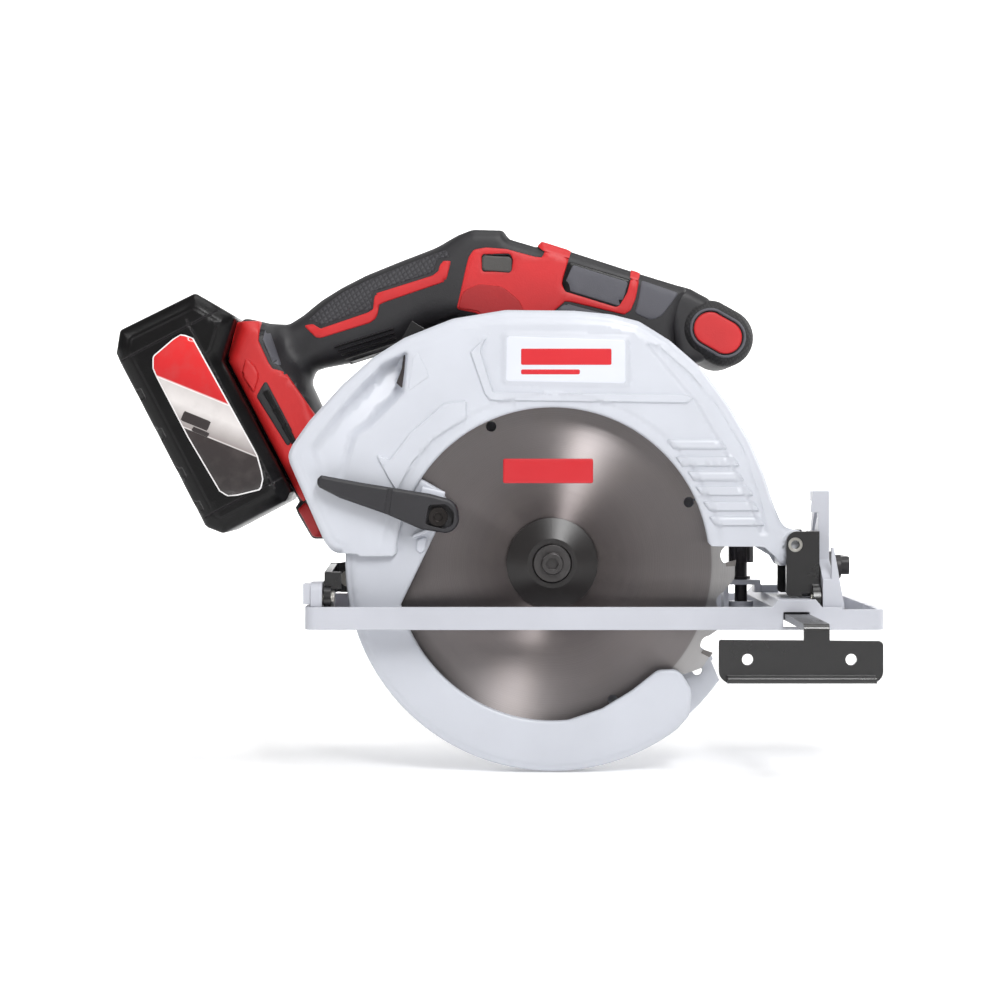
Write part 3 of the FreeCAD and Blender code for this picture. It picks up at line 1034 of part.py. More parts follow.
def latch_form(slack):
    """Push block in the top end of the case."""
    return slab_y(foot_points([
        (-19.0 - slack, -34.9), (-4.0 + slack, -34.9), (-4.0 + slack, -31.4 + 7 * slack),
        (-19.0 - slack, -31.4 + 7 * slack),
    ]), HANDLE_Y - 13.0 - slack, HANDLE_Y + 13.0 + slack)


def make_cells():
    cells = []
    for u in (-11.6, -30.6):
        for index in range(5):
            x, z = on_foot(u, -19.8 + 19.0 * index)
            cells.append(cyl_y(x, z, HANDLE_Y - 32.5, HANDLE_Y + 32.5, 9.15))
    return cells


def make_label():
    return slab_y(foot_points([
        (-33.0, -8.0), (-25.0, -20.0), (-17.0, -23.5), (-12.0, -21.0), (-8.5, 44.0), (-8.5, 54.0),
        (-18.0, 61.0), (-26.0, 60.0), (-31.0, 52.0),
    ]), BATTERY_Y0 - 0.3, BATTERY_Y0)


# ---------------------------------------------------------------- write the nodes
def write_base():
    save("base_plate", make_base())
    save("bevel_quadrant", make_quadrant())
    save("rear_ear", make_rear_ear())
    save("base_rivets", *make_rivets())
    save("fence_clamp_plate", make_clamp_plate())
    save("fence_clamp_knob", make_clamp_knob())
    save("rip_fence", make_fence())


def write_tilt_frame():
    save("front_bracket", make_front_bracket())
    save("rear_bracket", make_rear_bracket())
    save("depth_guide", make_depth_guide())
    save("guide_rivets", *make_guide_rivets())
    save("bevel_pins", *make_bevel_pins())
    save("depth_pivot_pin", make_depth_pin())
    save("bevel_bolt", make_bevel_bolt())
    save("bevel_knob", make_bevel_knob())


def write_guards():
    save("upper_guard", make_upper_guard())
    save("lower_guard", make_lower_guard())
    save("guard_lever", make_guard_lever())
    save("lever_screw", screw_y(LEVER_X, LEVER_Z, -23.0, -10.8, 4.2, 1.95, 2.9, 2.0))
    save("guard_spring", make_guard_spring())


def write_blade():
    save("saw_blade", make_blade())
    save("carbide_teeth", *make_teeth())
    save("spindle", make_spindle())
    save("outer_flange", make_outer_flange())
    save("inner_flange", make_inner_flange())
    save("blade_bolt", make_blade_bolt())
    save("large_gear", make_large_gear())


def write_drive():
    save("gear_case", make_gear_case())
    save("gear_cover", make_gear_cover())
    save("guard_retainer", ring_y(0, SPINDLE_Z, NOSE_Y - 1.3, NOSE_Y, HUB_R + 2.0, 18.2))
    save("front_spindle_bearing", make_bearing(0, SPINDLE_Z, 8.0, 16.0, 14.0, 6.0))
    save("rear_spindle_bearing", make_bearing(0, SPINDLE_Z, 41.0, 45.6, 9.5, 6.0))
    save("front_rotor_bearing", make_bearing(MOTOR_X, MOTOR_Z, 42.5, 47.0, 6.5, 2.5))
    save("rear_rotor_bearing", make_bearing(MOTOR_X, MOTOR_Z, 118.5, 123.0, 6.5, 2.5))
    save("motor_housing", make_motor_housing())
    save("motor_cap", make_motor_cap())
    save("stator", make_stator())
    save("rotor_shaft", make_rotor_shaft())
    save("rotor_core", ring_y(MOTOR_X, MOTOR_Z, 62.0, 104.0, 17.5, 4.0))
    save("cooling_fan", make_fan())
    x, z, y = lock_place()
    save("spindle_lock", fuse(cyl_x(y, z, x, x + 9.0, 3.0), cyl_x(y, z, x + 5.0, x + 9.0, 5.5)))
    save("gear_case_screws", *[
        screw_y(x, z, 14.4, 23.5, 3.6, 1.95, 2.0, 1.6) for x, z in GEARCASE_SCREWS])
    x, z = on_guide(GUIDE_START)
    save("depth_clamp_bolt", fuse(cyl_y(x, z, 13.4, GUARD_Y1 - GUARD_WALL, 4.8),
                                  cyl_y(x, z, GUARD_Y1 - GUARD_WALL, 33.0, 2.9)))
    hub = ring_y(x, z, GUIDE_Y1 + 3.3, 33.4, 7.0, 2.9 + FIT)
    arm = slab_y(rounded([(x, z + 5.5), (x + 40.0, z + 8.0), (x + 42.0, z + 1.0), (x + 2.0, z - 5.5)],
                         [2, 3, 3, 2]), 29.0, 33.4)
    save("depth_lever", arm.fuse(hub).cut(cyl_y(x, z, 20, 40, 2.9 + FIT)).removeSplitter())


def write_handle():
    handle = make_handle()
    near_side = box(-300, 300, -100, HANDLE_Y, -100, 300)
    save("right_shell", handle.common(near_side))
    save("left_shell", handle.cut(near_side))
    save("grip_rubber", rubber_form(0.05))
    save("front_grip", make_front_grip())
    save("grip_insets", *make_grip_insets())
    save("shell_screws", *[
        screw_y(x, z, HANDLE_Y + HANDLE_HALF - 4.0, HANDLE_Y - 4.0, 3.3, 1.55, 2.4, 1.5) for x, z in SHELL_SCREWS])
    save("trigger", make_trigger())
    save("lock_off_button", make_lock_off())
    save("switch_module", box(-66.0, -44.0, HANDLE_Y - 8.0, HANDLE_Y + 8.0, 155.4, 160.0))
    save("controller_board", box(-8.0, 30.0, HANDLE_Y - 10.0, HANDLE_Y - 7.0, 112.0, 150.0))
    save("terminal_block", terminal_form())


def write_battery():
    rail_half, outer_half = make_battery_case()
    save("battery_rail_half", rail_half)
    save("battery_outer_half", outer_half)
    save("battery_latch", latch_form(0))
    save("battery_cells", *make_cells())
    save("battery_label", make_label())


write_base()
write_tilt_frame()
write_guards()
write_blade()
write_drive()
write_handle()
write_battery()
print(len(NODES), "nodes")
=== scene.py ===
import math

import bmesh
import bpy
import numpy as np
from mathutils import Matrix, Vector
from mathutils.geometry import delaunay_2d_cdt


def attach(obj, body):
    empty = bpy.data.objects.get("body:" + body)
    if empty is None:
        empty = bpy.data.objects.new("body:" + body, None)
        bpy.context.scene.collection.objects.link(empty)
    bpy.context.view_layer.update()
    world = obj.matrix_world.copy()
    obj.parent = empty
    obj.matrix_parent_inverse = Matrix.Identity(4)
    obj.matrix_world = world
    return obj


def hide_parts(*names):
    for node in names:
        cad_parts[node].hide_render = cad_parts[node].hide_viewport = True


# Looks of the cordless circular saw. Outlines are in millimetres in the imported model's frame: X is the cutting
# direction, Y goes from the blade to the motor, Z is up.  Meshes are made in metres.

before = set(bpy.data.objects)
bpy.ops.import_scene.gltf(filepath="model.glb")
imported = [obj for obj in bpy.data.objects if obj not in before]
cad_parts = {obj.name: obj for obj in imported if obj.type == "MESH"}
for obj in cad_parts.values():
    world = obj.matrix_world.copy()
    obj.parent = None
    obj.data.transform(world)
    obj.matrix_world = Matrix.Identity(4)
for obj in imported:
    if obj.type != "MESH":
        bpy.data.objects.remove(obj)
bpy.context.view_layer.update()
MM = 0.001

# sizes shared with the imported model
SPINDLE = (0.0, 28.2)
GUARD_NEAR = -15.5
GUARD_FAR = 19.0
WINDOW_R = 69.5
HANDLE_Y = 44.0
HANDLE_HALF = 16.4
FOOT_HALF = 24.3
FOOT = (-148.3, 119.4)
FOOT_TILT = math.radians(27.5)
GRIP = (76.4, 132.6)


# ---------------------------------------------------------------- flat geometry
def polar(centre, radius, degrees):
    a = math.radians(degrees)
    return (centre[0] + radius * math.cos(a), centre[1] + radius * math.sin(a))


def arc(centre, radius, start, end, steps=24):
    return [polar(centre, radius, start + (end - start) * i / steps) for i in range(steps + 1)]


def on_foot(u, d):
    """A point beside the battery's interface line: u towards the handle, d down along the line."""
    return (FOOT[0] + u * math.cos(FOOT_TILT) + d * math.sin(FOOT_TILT),
            FOOT[1] + u * math.sin(FOOT_TILT) - d * math.cos(FOOT_TILT))


def foot_loop(points):
    return [on_foot(p[0], p[1]) + tuple(p[2:]) for p in points]


def soften(points, radius=0.0, steps=6):
    """Rounds the corners of a closed outline.  A point is (x, z) or (x, z, its own radius)."""
    loop = []
    count = len(points)
    for i in range(count):
        here = Vector(points[i][:2])
        before = Vector(points[i - 1][:2])
        after = Vector(points[(i + 1) % count][:2])
        r = points[i][2] if len(points[i]) > 2 else radius
        a = before - here
        b = after - here
        if r <= 0 or a.length < 1e-6 or b.length < 1e-6:
            loop.append(tuple(here))
            continue
        half = a.angle(b) / 2
        reach = min(r / max(math.tan(half), 1e-3), 0.48 * a.length, 0.48 * b.length)
        if reach < 0.02 or half > math.radians(89.5):
            loop.append(tuple(here))
            continue
        start = here + a.normalized() * reach
        end = here + b.normalized() * reach
        for k in range(steps + 1):
            t = k / steps
            loop.append(tuple(start * (1 - t) ** 2 + here * 2 * t * (1 - t) + end * t * t))
    return loop


def resample(loop, spacing):
    """Splits long edges, and drops points closer together than a quarter of the spacing."""
    result = []
    count = len(loop)
    for i in range(count):
        a = Vector(loop[i])
        b = Vector(loop[(i + 1) % count])
        length = (b - a).length
        if length < spacing * 0.12:
            continue
        pieces = max(1, int(math.ceil(length / spacing)))
        for k in range(pieces):
            result.append(tuple(a.lerp(b, k / pieces)))
    return result


def distance(points, loop, closed=True):
    """Distance of many points to an outline, or to an open line."""
    points = np.asarray(points, float)
    a = np.asarray(loop, float)
    b = np.roll(a, -1, axis=0)
    if not closed:
        a, b = a[:-1], b[:-1]
    ab = b - a
    size = np.maximum((ab ** 2).sum(1), 1e-12)
    best = np.full(len(points), 1e9)
    for i in range(len(a)):
        t = np.clip(((points - a[i]) @ ab[i]) / size[i], 0, 1)
        near = a[i] + t[:, None] * ab[i]
        best = np.minimum(best, np.hypot(*(points - near).T))
    return best


def inside(points, loop):
    points = np.asarray(points, float)
    a = np.asarray(loop, float)
    b = np.roll(a, -1, axis=0)
    result = np.zeros(len(points), bool)
    for (x0, z0), (x1, z1) in zip(a, b):
        if z0 == z1:
            continue
        crosses = ((z0 > points[:, 1]) != (z1 > points[:, 1]))
        x = (x1 - x0) * (points[:, 1] - z0) / (z1 - z0) + x0
        result ^= crosses & (points[:, 0] < x)
    return result


def signed(points, loop):
    """Distance to the outline, positive inside it."""
    d = distance(points, loop)
    return np.where(inside(points, loop), d, -d)


def smooth(t):
    t = np.clip(t, 0, 1)
    return t * t * (3 - 2 * t)


def inset_points(loop, depth):
    """The outline's points moved in by depth, where that place is really that deep."""
    a = np.asarray(loop, float)
    ahead = np.roll(a, -1, axis=0) - np.roll(a, 1, axis=0)
    length = np.maximum(np.hypot(*ahead.T), 1e-9)
    normal = np.stack([-ahead[:, 1], ahead[:, 0]], 1) / length[:, None]
    area = 0.5 * np.sum(a[:, 0] * np.roll(a[:, 1], -1) - a[:, 1] * np.roll(a[:, 0], -1))
    if area < 0:
        normal = -normal
    return a + normal * depth


def triangulate(loops, spacing, rings, lines):
    """Fills the first outline, less the others, with small triangles.  rings are depths of extra rows beside
    every outline, and lines are extra rows of points with the distance that they keep from the outlines."""
    loops = [resample(loop, spacing) for loop in loops]
    points = []
    edges = []
    for loop in loops:
        start = len(points)
        points += loop
        edges += [(start + i, start + (i + 1) % len(loop)) for i in range(len(loop))]

    def depth_of(cloud):
        d = np.full(len(cloud), 1e9)
        for loop in loops:
            d = np.minimum(d, distance(cloud, loop))
        ok = inside(cloud, loops[0])
        for loop in loops[1:]:
            ok &= ~inside(cloud, loop)
        return np.where(ok, d, -d)

    extra = []
    for depth in rings:
        for index, loop in enumerate(loops):
            row = inset_points(loop, depth if index == 0 else -depth)
            extra.append(row[depth_of(row) > depth * 0.96])
    for line in lines:
        row = np.asarray(line, float)
        extra.append(row[depth_of(row) > spacing * 0.3])
    low = np.min(np.asarray(loops[0]), axis=0)
    high = np.max(np.asarray(loops[0]), axis=0)
    rows = []
    z = low[1]
    odd = 0
    while z < high[1]:
        xs = np.arange(low[0] + (spacing / 2 if odd else 0), high[0], spacing)
        rows.append(np.stack([xs, np.full(len(xs), z)], 1))
        z += spacing * 0.866
        odd = 1 - odd
    grid = np.concatenate(rows)
    grid = grid[depth_of(grid) > (max(rings) if rings else 0) + spacing * 0.45]
    taken = np.concatenate(extra) if extra else np.zeros((0, 2))
    if len(taken):
        cells = {(round(x / spacing * 1.3), round(z / spacing * 1.3)) for x, z in taken}
        keep = [(round(x / spacing * 1.3), round(z / spacing * 1.3)) not in cells for x, z in grid]
        grid = grid[np.asarray(keep, bool)]
    cloud = [Vector(p) for p in points] + [Vector(p) for p in taken] + [Vector(p) for p in grid]
    verts, _, faces, _, _, _ = delaunay_2d_cdt(cloud, edges, [], 0, 1e-5)
    verts = np.asarray([tuple(v) for v in verts])
    faces = np.asarray([tuple(f) for f in faces if len(f) == 3])
    middle = verts[faces].mean(axis=1)
    faces = faces[depth_of(middle) > 0]
    return verts, faces, depth_of(verts), loops


# ---------------------------------------------------------------- solid geometry
def add_object(name, verts, faces, material, body, replaces=(), sharp=35.0):
    mesh = bpy.data.meshes.new(name)
    mesh.from_pydata(verts, [], faces)
    work = bmesh.new()
    work.from_mesh(mesh)
    bmesh.ops.remove_doubles(work, verts=work.verts, dist=2e-6)
    bmesh.ops.recalc_face_normals(work, faces=work.faces)
    work.to_mesh(mesh)
    work.free()
    mesh.shade_smooth()
    mesh.set_sharp_from_angle(angle=math.radians(sharp))
    mesh.materials.append(material)
    piece = bpy.data.objects.new(name, mesh)
    bpy.context.scene.collection.objects.link(piece)
    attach(piece, body)
    if replaces:
        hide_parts(*replaces)
    return piece


def form(name, loops, near, far, material, body, slot, spacing=2.0, rings=(), lines=(), replaces=(),
         sharp=35.0):
    """Closed form between two faces.  near and far give Y in mm from points and their depth in the outline."""
    flat, faces, depth, _ = triangulate(loops, spacing, rings, lines)
    depth = np.maximum(depth, 0)
    y_near = near(flat, depth)
    y_far = far(flat, depth)
    count = len(flat)
    verts = [(x * MM, y * MM, z * MM) for (x, z), y in zip(flat, y_near)]
    verts += [(x * MM, y * MM, z * MM) for (x, z), y in zip(flat, y_far)]
    result = [tuple(int(i) for i in f) for f in faces]
    result += [tuple(int(i) + count for i in reversed(f)) for f in faces]
    uses = {}
    for a, b, c in faces:
        for i, j in ((a, b), (b, c), (c, a)):
            key = (min(i, j), max(i, j))
            uses[key] = uses.get(key, 0) + 1
    for (i, j), n in uses.items():
        if n == 1:
            result.append((int(i), int(j), int(j) + count, int(i) + count))
    return add_object(name, verts, result, material, body, replaces, sharp)


def round_rows(radius):
    """Depths that follow a quarter circle well."""
    return [radius * (1 - math.cos(math.radians(a))) for a in (22, 40, 58, 76, 90)]


def edge_drop(depth, radius):
    """How far a face has fallen back at a depth inside its round edge."""
    d = np.clip(depth, 0, radius)
    return radius - np.sqrt(np.maximum(radius ** 2 - (radius - d) ** 2, 0))


def pad(name, loop, y0, y1, radius, material, body, slot, spacing=2.5, holes=(), replaces=(), far_radius=None):
    """A slab with round edges on both faces."""
    far_r = radius if far_radius is None else far_radius
    return form(name, [loop] + list(holes),
                lambda p, d: y0 + edge_drop(d, radius),
                lambda p, d: y1 - edge_drop(d, far_r),
                material, body, slot, spacing, round_rows(max(radius, far_r)), (), replaces)


# ---------------------------------------------------------------- material helpers
class Nodes:
    """A small helper that adds and links shader nodes."""

    def __init__(self, name):
        self.material = bpy.data.materials.new(name)
        self.material.use_nodes = True
        self.tree = self.material.node_tree
        self.shader = self.tree.nodes["Principled BSDF"]

    def add(self, kind, **values):
        node = self.tree.nodes.new(kind)
        for key, value in values.items():
            if key in node.inputs:
                node.inputs[key].default_value = value
            else:
                setattr(node, key, value)
        return node

    def link(self, source, output, target, socket):
        self.tree.links.new(source.outputs[output], target.inputs[socket])

    def coords(self, scale=(1, 1, 1), turn=(0, 0, 0)):
        where = self.add("ShaderNodeTexCoord")
        mapping = self.add("ShaderNodeMapping")
        mapping.inputs["Scale"].default_value = scale
        mapping.inputs["Rotation"].default_value = turn
        self.link(where, "Object", mapping, "Vector")
        return mapping

    def noise(self, scale, detail=3.0, stretch=(1, 1, 1), rough=0.5):
        node = self.add("ShaderNodeTexNoise", Scale=scale, Detail=detail, Roughness=rough)
        self.link(self.coords(stretch), "Vector", node, "Vector")
        return node

    def ramp(self, source, output, stops):
        node = self.add("ShaderNodeValToRGB")
        elements = node.color_ramp.elements
        while len(elements) < len(stops):
            elements.new(0.5)
        for element, (place, colour) in zip(elements, stops):
            element.position = place
            element.color = tuple(colour) + (1,) if len(colour) == 3 else colour
        self.link(source, output, node, "Fac")
        return node

    def math(self, operation, a, b=None, clamp=False):
        node = self.add("ShaderNodeMath", operation=operation, use_clamp=clamp)
        for socket, value in ((0, a), (1, b)):
            if value is None:
                continue
            if isinstance(value, tuple):
                self.tree.links.new(value[0].outputs[value[1]], node.inputs[socket])
            else:
                node.inputs[socket].default_value = value
        return node

    def mix(self, fac, a, b):
        """Mixes two colours; each is a colour or a (node, output) pair."""
        node = self.add("ShaderNodeMix", data_type="RGBA")
        for socket, value in ((0, fac), (6, a), (7, b)):
            if isinstance(value, tuple) and len(value) == 2 and not isinstance(value[0], float):
                self.tree.links.new(value[0].outputs[value[1]], node.inputs[socket])
            elif isinstance(value, (float, int)):
                node.inputs[socket].default_value = value
            else:
                node.inputs[socket].default_value = tuple(value) + (1,)
        return node

    def spread(self, source, low, high):
        """A pattern's value, spread between two numbers."""
        node = self.add("ShaderNodeMapRange")
        node.inputs["To Min"].default_value = low
        node.inputs["To Max"].default_value = high
        self.link(source, "Fac", node, "Value")
        return node

    def edges(self, radius):
        """Round edges for the light, and a mask that is 1 along the edges."""
        bevel = self.add("ShaderNodeBevel", samples=6, Radius=radius)
        geometry = self.add("ShaderNodeNewGeometry")
        dot = self.add("ShaderNodeVectorMath", operation="DOT_PRODUCT")
        self.link(bevel, "Normal", dot, 0)
        self.link(geometry, "Normal", dot, 1)
        mask = self.add("ShaderNodeMapRange")
        mask.inputs["From Min"].default_value = 0.995
        mask.inputs["From Max"].default_value = 0.86
        self.link(dot, "Value", mask, "Value")
        return bevel, mask

    def bump(self, height, output, strength, size, normal=None):
        node = self.add("ShaderNodeBump", Strength=strength, Distance=size)
        self.tree.links.new(height.outputs[output], node.inputs["Height"])
        if normal is not None:
            self.tree.links.new(normal.outputs["Normal"], node.inputs["Normal"])
        return node

    def finish(self, colour, rough, normal):
        if colour is not None:
            self.tree.links.new(colour[0].outputs[colour[1]], self.shader.inputs["Base Color"])
        if isinstance(rough, float):
            self.shader.inputs["Roughness"].default_value = rough
        elif rough is not None:
            self.tree.links.new(rough[0].outputs[rough[1]], self.shader.inputs["Roughness"])
        if normal is not None:
            self.tree.links.new(normal.outputs["Normal"], self.shader.inputs["Normal"])
        return self.material


def linear(r, g, b):
    """A linear colour from 0-255 screen values."""
    result = []
    for value in (r, g, b):
        v = value / 255
        result.append(v / 12.92 if v <= 0.04045 else ((v + 0.055) / 1.055) ** 2.4)
    return tuple(result)


def shade(colour, factor):
    return tuple(min(1.0, c * factor) for c in colour)


def painted(name, colour, rough=0.38, grain=900.0, depth=0.00004, edge=0.0006, edge_wear_and_highlight=1.12, coat=0.0):
    """Sprayed paint on a casting: fine orange peel, slow tone changes, and lighter edges that are partly worn
    paint and partly painted highlight.
    """
    n = Nodes(name)
    tone = n.noise(22.0, 4.0)
    base = n.ramp(tone, "Fac", [(0.3, shade(colour, 0.94)), (0.7, shade(colour, 1.03))])
    bevel, mask = n.edges(edge)
    # edges lightened: partly worn paint, partly a painted highlight
    edged = n.mix((n.math("MULTIPLY", (mask, "Result"), 0.6), "Value"), (base, "Color"), shade(colour, edge_wear_and_highlight))
    peel = n.noise(grain, 2.0)
    normal = n.bump(peel, "Fac", 0.35, depth, bevel)
    dull = n.noise(60.0, 3.0)
    roughness = n.spread(dull, rough - 0.06, rough + 0.08)
    n.shader.inputs["Coat Weight"].default_value = coat
    n.shader.inputs["Coat Roughness"].default_value = 0.2
    return n.finish((edged, "Result"), (roughness, "Result"), normal)


def moulded(name, colour, rough=0.5, grain=1400.0, depth=0.00006, edge=0.0004, edge_wear_and_highlight=1.5, specular=0.5):
    """Moulded plastic with a fine spark-eroded grain, and lighter edges that are partly rubbed and partly
    painted highlight.
    """
    n = Nodes(name)
    tone = n.noise(35.0, 4.0)
    base = n.ramp(tone, "Fac", [(0.3, shade(colour, 0.88)), (0.7, shade(colour, 1.08))])
    bevel, mask = n.edges(edge)
    # edges lightened: partly rubbed plastic, partly a painted highlight
    edged = n.mix((n.math("MULTIPLY", (mask, "Result"), 0.35), "Value"), (base, "Color"), shade(colour, edge_wear_and_highlight))
    cells = n.add("ShaderNodeTexVoronoi", Scale=grain)
    n.link(n.coords(), "Vector", cells, "Vector")
    normal = n.bump(cells, "Distance", 0.5, depth, bevel)
    roughness = n.spread(n.noise(80.0, 3.0), rough - 0.07, rough + 0.1)
    n.shader.inputs["Specular IOR Level"].default_value = specular
    return n.finish((edged, "Result"), (roughness, "Result"), normal)


def knurled(name, colour, pitch=0.0021, depth=0.0005, rough=0.62):
    """Rubber with a raised diamond pattern in the XZ plane."""
    n = Nodes(name)
    waves = []
    for turn in (math.radians(28), math.radians(-52)):
        wave = n.add("ShaderNodeTexWave", Scale=1.0, wave_profile="TRI")
        wave.bands_direction = "X"
        k = 1.0 / (pitch * 3.18)
        mapping = n.coords((k, k, k), (0, turn, 0))
        n.link(mapping, "Vector", wave, "Vector")
        waves.append(wave)
    height = n.math("MINIMUM", (waves[0], "Fac"), (waves[1], "Fac"))
    bevel, _ = n.edges(0.0006)
    normal = n.bump(height, "Value", 0.8, depth, bevel)
    fine = n.bump(n.noise(2500.0, 2.0), "Fac", 0.15, 0.00003, normal)
    # grooves painted darker and ridges lighter: painted shade and highlight of the knurl
    lit = n.ramp(height, "Value", [(0.05, shade(colour, 0.62)), (0.6, shade(colour, 1.15))])
    return n.finish((lit, "Color"), rough, fine)


def plated(name, colour, rough=0.3, streak=(1, 1, 1)):
    """Plated or turned steel with fine streaks and a little tarnish."""
    n = Nodes(name)
    stain = n.noise(90.0, 5.0)
    base = n.ramp(stain, "Fac", [(0.3, shade(colour, 0.75)), (0.65, shade(colour, 1.05))])
    fine = n.noise(700.0, 2.0, streak)
    roughness = n.spread(fine, rough - 0.08, rough + 0.15)
    bevel, _ = n.edges(0.0003)
    normal = n.bump(fine, "Fac", 0.2, 0.00003, bevel)
    n.shader.inputs["Metallic"].default_value = 1.0
    return n.finish((base, "Color"), (roughness, "Result"), normal)


def blade_steel():
    """Ground steel: fine rings, a darker brushed middle, a brighter outer band and a few smudges."""
    n = Nodes("blade_ground_steel")
    where = n.add("ShaderNodeTexCoord")
    split = n.add("ShaderNodeSeparateXYZ")
    n.link(where, "Object", split, "Vector")
    z = n.math("SUBTRACT", (split, "Z"), SPINDLE[1] * MM)
    xx = n.math("MULTIPLY", (split, "X"), (split, "X"))
    zz = n.math("MULTIPLY", (z, "Value"), (z, "Value"))
    radius = n.math("SQRT", (n.math("ADD", (xx, "Value"), (zz, "Value")), "Value"))
    rings = n.add("ShaderNodeTexNoise", noise_dimensions="1D", Scale=5200.0, Detail=3.0)
    n.link(radius, "Value", rings, "W")
    broad = n.add("ShaderNodeTexNoise", noise_dimensions="1D", Scale=420.0, Detail=2.0)
    n.link(radius, "Value", broad, "W")
    smudge = n.noise(38.0, 5.0)
    zone = n.ramp(n.math("DIVIDE", (radius, "Value"), 0.0825), "Value", [
        (0.0, linear(82, 77, 77)), (0.30, linear(100, 94, 94)), (0.55, linear(130, 124, 124)),
        (0.862, linear(142, 137, 137)), (0.872, linear(190, 188, 188)), (1.0, linear(204, 203, 203))])
    zone.color_ramp.interpolation = "LINEAR"
    ringed = n.mix((n.ramp(rings, "Fac", [(0.35, (0, 0, 0)), (0.7, (0.35, 0.35, 0.35))]), "Color"),
                   (zone, "Color"), linear(96, 90, 88))
    tired = n.mix((n.ramp(smudge, "Fac", [(0.5, (0, 0, 0)), (0.75, (0.3, 0.3, 0.3))]), "Color"),
                  (ringed, "Result"), linear(130, 122, 118))
    tangent = n.add("ShaderNodeTangent", direction_type="RADIAL", axis="Y")
    n.link(tangent, "Tangent", n.shader, "Tangent")
    n.shader.inputs["Metallic"].default_value = 1.0
    n.shader.inputs["Anisotropic"].default_value = 0.97
    n.shader.inputs["Anisotropic Rotation"].default_value = 0.25
    roughness = n.spread(broad, 0.31, 0.42)
    normal = n.bump(rings, "Fac", 0.12, 0.00002)
    return n.finish((tired, "Result"), (roughness, "Result"), normal)


BAND_TILT = math.radians(-22)


def height_over_bands(x, z):
    return -x * math.sin(BAND_TILT) + z * math.cos(BAND_TILT)


def label_film():
    """Glossy printed film: a colour field at its top, a pale middle and a dark foot, with thin pale lines."""
    n = Nodes("battery_label_film")
    mapping = n.coords((1, 1, 1), (0, BAND_TILT, 0))
    split = n.add("ShaderNodeSeparateXYZ")
    n.link(mapping, "Vector", split, "Vector")
    place = n.add("ShaderNodeMapRange")
    # height square to the bands, in metres
    n.link(split, "Z", place, "Value")
    low, high = [height_over_bands(x, z) * MM for x, z in ((-131.0, 60.9), (-168.2, 131.3))]
    place.inputs["From Min"].default_value = low
    place.inputs["From Max"].default_value = high
    bands = n.ramp(place, "Result", [
        (0.0, linear(40, 34, 34)), (0.25, linear(46, 38, 38)), (0.256, linear(232, 226, 224)),
        (0.266, linear(150, 142, 140)), (0.44, linear(222, 217, 215)), (0.575, linear(206, 200, 198)),
        (0.58, linear(250, 248, 247)), (0.595, linear(196, 22, 28)), (1.0, linear(224, 36, 38))])
    bands.color_ramp.interpolation = "LINEAR"
    dust = n.noise(160.0, 4.0)
    base = n.mix((n.ramp(dust, "Fac", [(0.45, (0, 0, 0)), (0.8, (0.16, 0.16, 0.16))]), "Color"),
                 (bands, "Color"), linear(120, 110, 108))
    n.shader.inputs["Coat Weight"].default_value = 0.5
    n.shader.inputs["Coat Roughness"].default_value = 0.12
    bevel, _ = n.edges(0.0003)
    normal = n.bump(n.noise(500.0, 2.0), "Fac", 0.15, 0.00003, bevel)
    return n.finish((base, "Result"), 0.34, normal)


def laminated():
    n = Nodes("motor_laminations")
    layers = n.add("ShaderNodeTexWave", Scale=320.0, bands_direction="Y")
    n.link(n.coords(), "Vector", layers, "Vector")
    base = n.ramp(layers, "Fac", [(0.2, linear(60, 58, 56)), (0.8, linear(140, 134, 130))])
    n.shader.inputs["Metallic"].default_value = 0.8
    return n.finish((base, "Color"), 0.45, n.bump(layers, "Fac", 0.4, 0.0001))


RED = linear(200, 30, 34)

GUARD_PAINT = painted("guard_paint", linear(198, 201, 209), 0.42, coat=0.15)
PANEL_PAINT = painted("panel_paint", linear(214, 217, 226), 0.40, coat=0.15)
BASE_PAINT = painted("base_paint", linear(188, 190, 198), 0.40, coat=0.1)
BLACK_PAINT = painted("black_paint", linear(22, 21, 22), 0.28, edge=0.0004, edge_wear_and_highlight=3.5, coat=0.3)
RED_SHELL = moulded("red_shell", RED, 0.46, edge_wear_and_highlight=1.35)
RED_FOOT = moulded("red_foot", linear(196, 32, 33), 0.46, edge_wear_and_highlight=1.35)
RED_DEEP = moulded("red_deep", linear(168, 20, 24), 0.5, edge_wear_and_highlight=1.3)
BLACK_SHELL = moulded("black_shell", linear(32, 31, 34), 0.5, edge_wear_and_highlight=3.0)
GREY_PANEL = moulded("grey_panel", linear(84, 84, 91), 0.55, 2600.0, 0.0001, edge_wear_and_highlight=1.5)
# edges lightened 26 times: mostly a painted highlight along the case's chamfers
BATTERY_CASE = moulded("battery_case", linear(8, 7, 8), 0.3, edge=0.0009, edge_wear_and_highlight=26.0, specular=0.28)
LEVER_PLASTIC = moulded("lever_plastic", linear(36, 35, 39), 0.45, edge_wear_and_highlight=1.9)
KNOB_PLASTIC = moulded("knob_plastic", linear(30, 27, 30), 0.38, edge_wear_and_highlight=2.2)
BUTTON_GREY = moulded("button_grey", linear(70, 68, 66), 0.5)
GRIP_KNURL = knurled("grip_knurl", linear(54, 53, 57))
GRIP_SOFT = knurled("front_grip_knurl", linear(30, 29, 31), 0.0016, 0.0002, 0.58)
MOTOR_PLASTIC = moulded("motor_plastic", linear(36, 35, 37), 0.5, edge_wear_and_highlight=2.0)
ZINC = plated("zinc_plating", linear(178, 176, 170), 0.3)
DARK_STEEL = plated("dark_steel", linear(58, 55, 54), 0.3)
BRIGHT_STEEL = plated("turned_steel", linear(176, 174, 172), 0.24, (0.2, 12, 0.2))
CARBIDE = plated("carbide_grey", linear(136, 132, 130), 0.36)
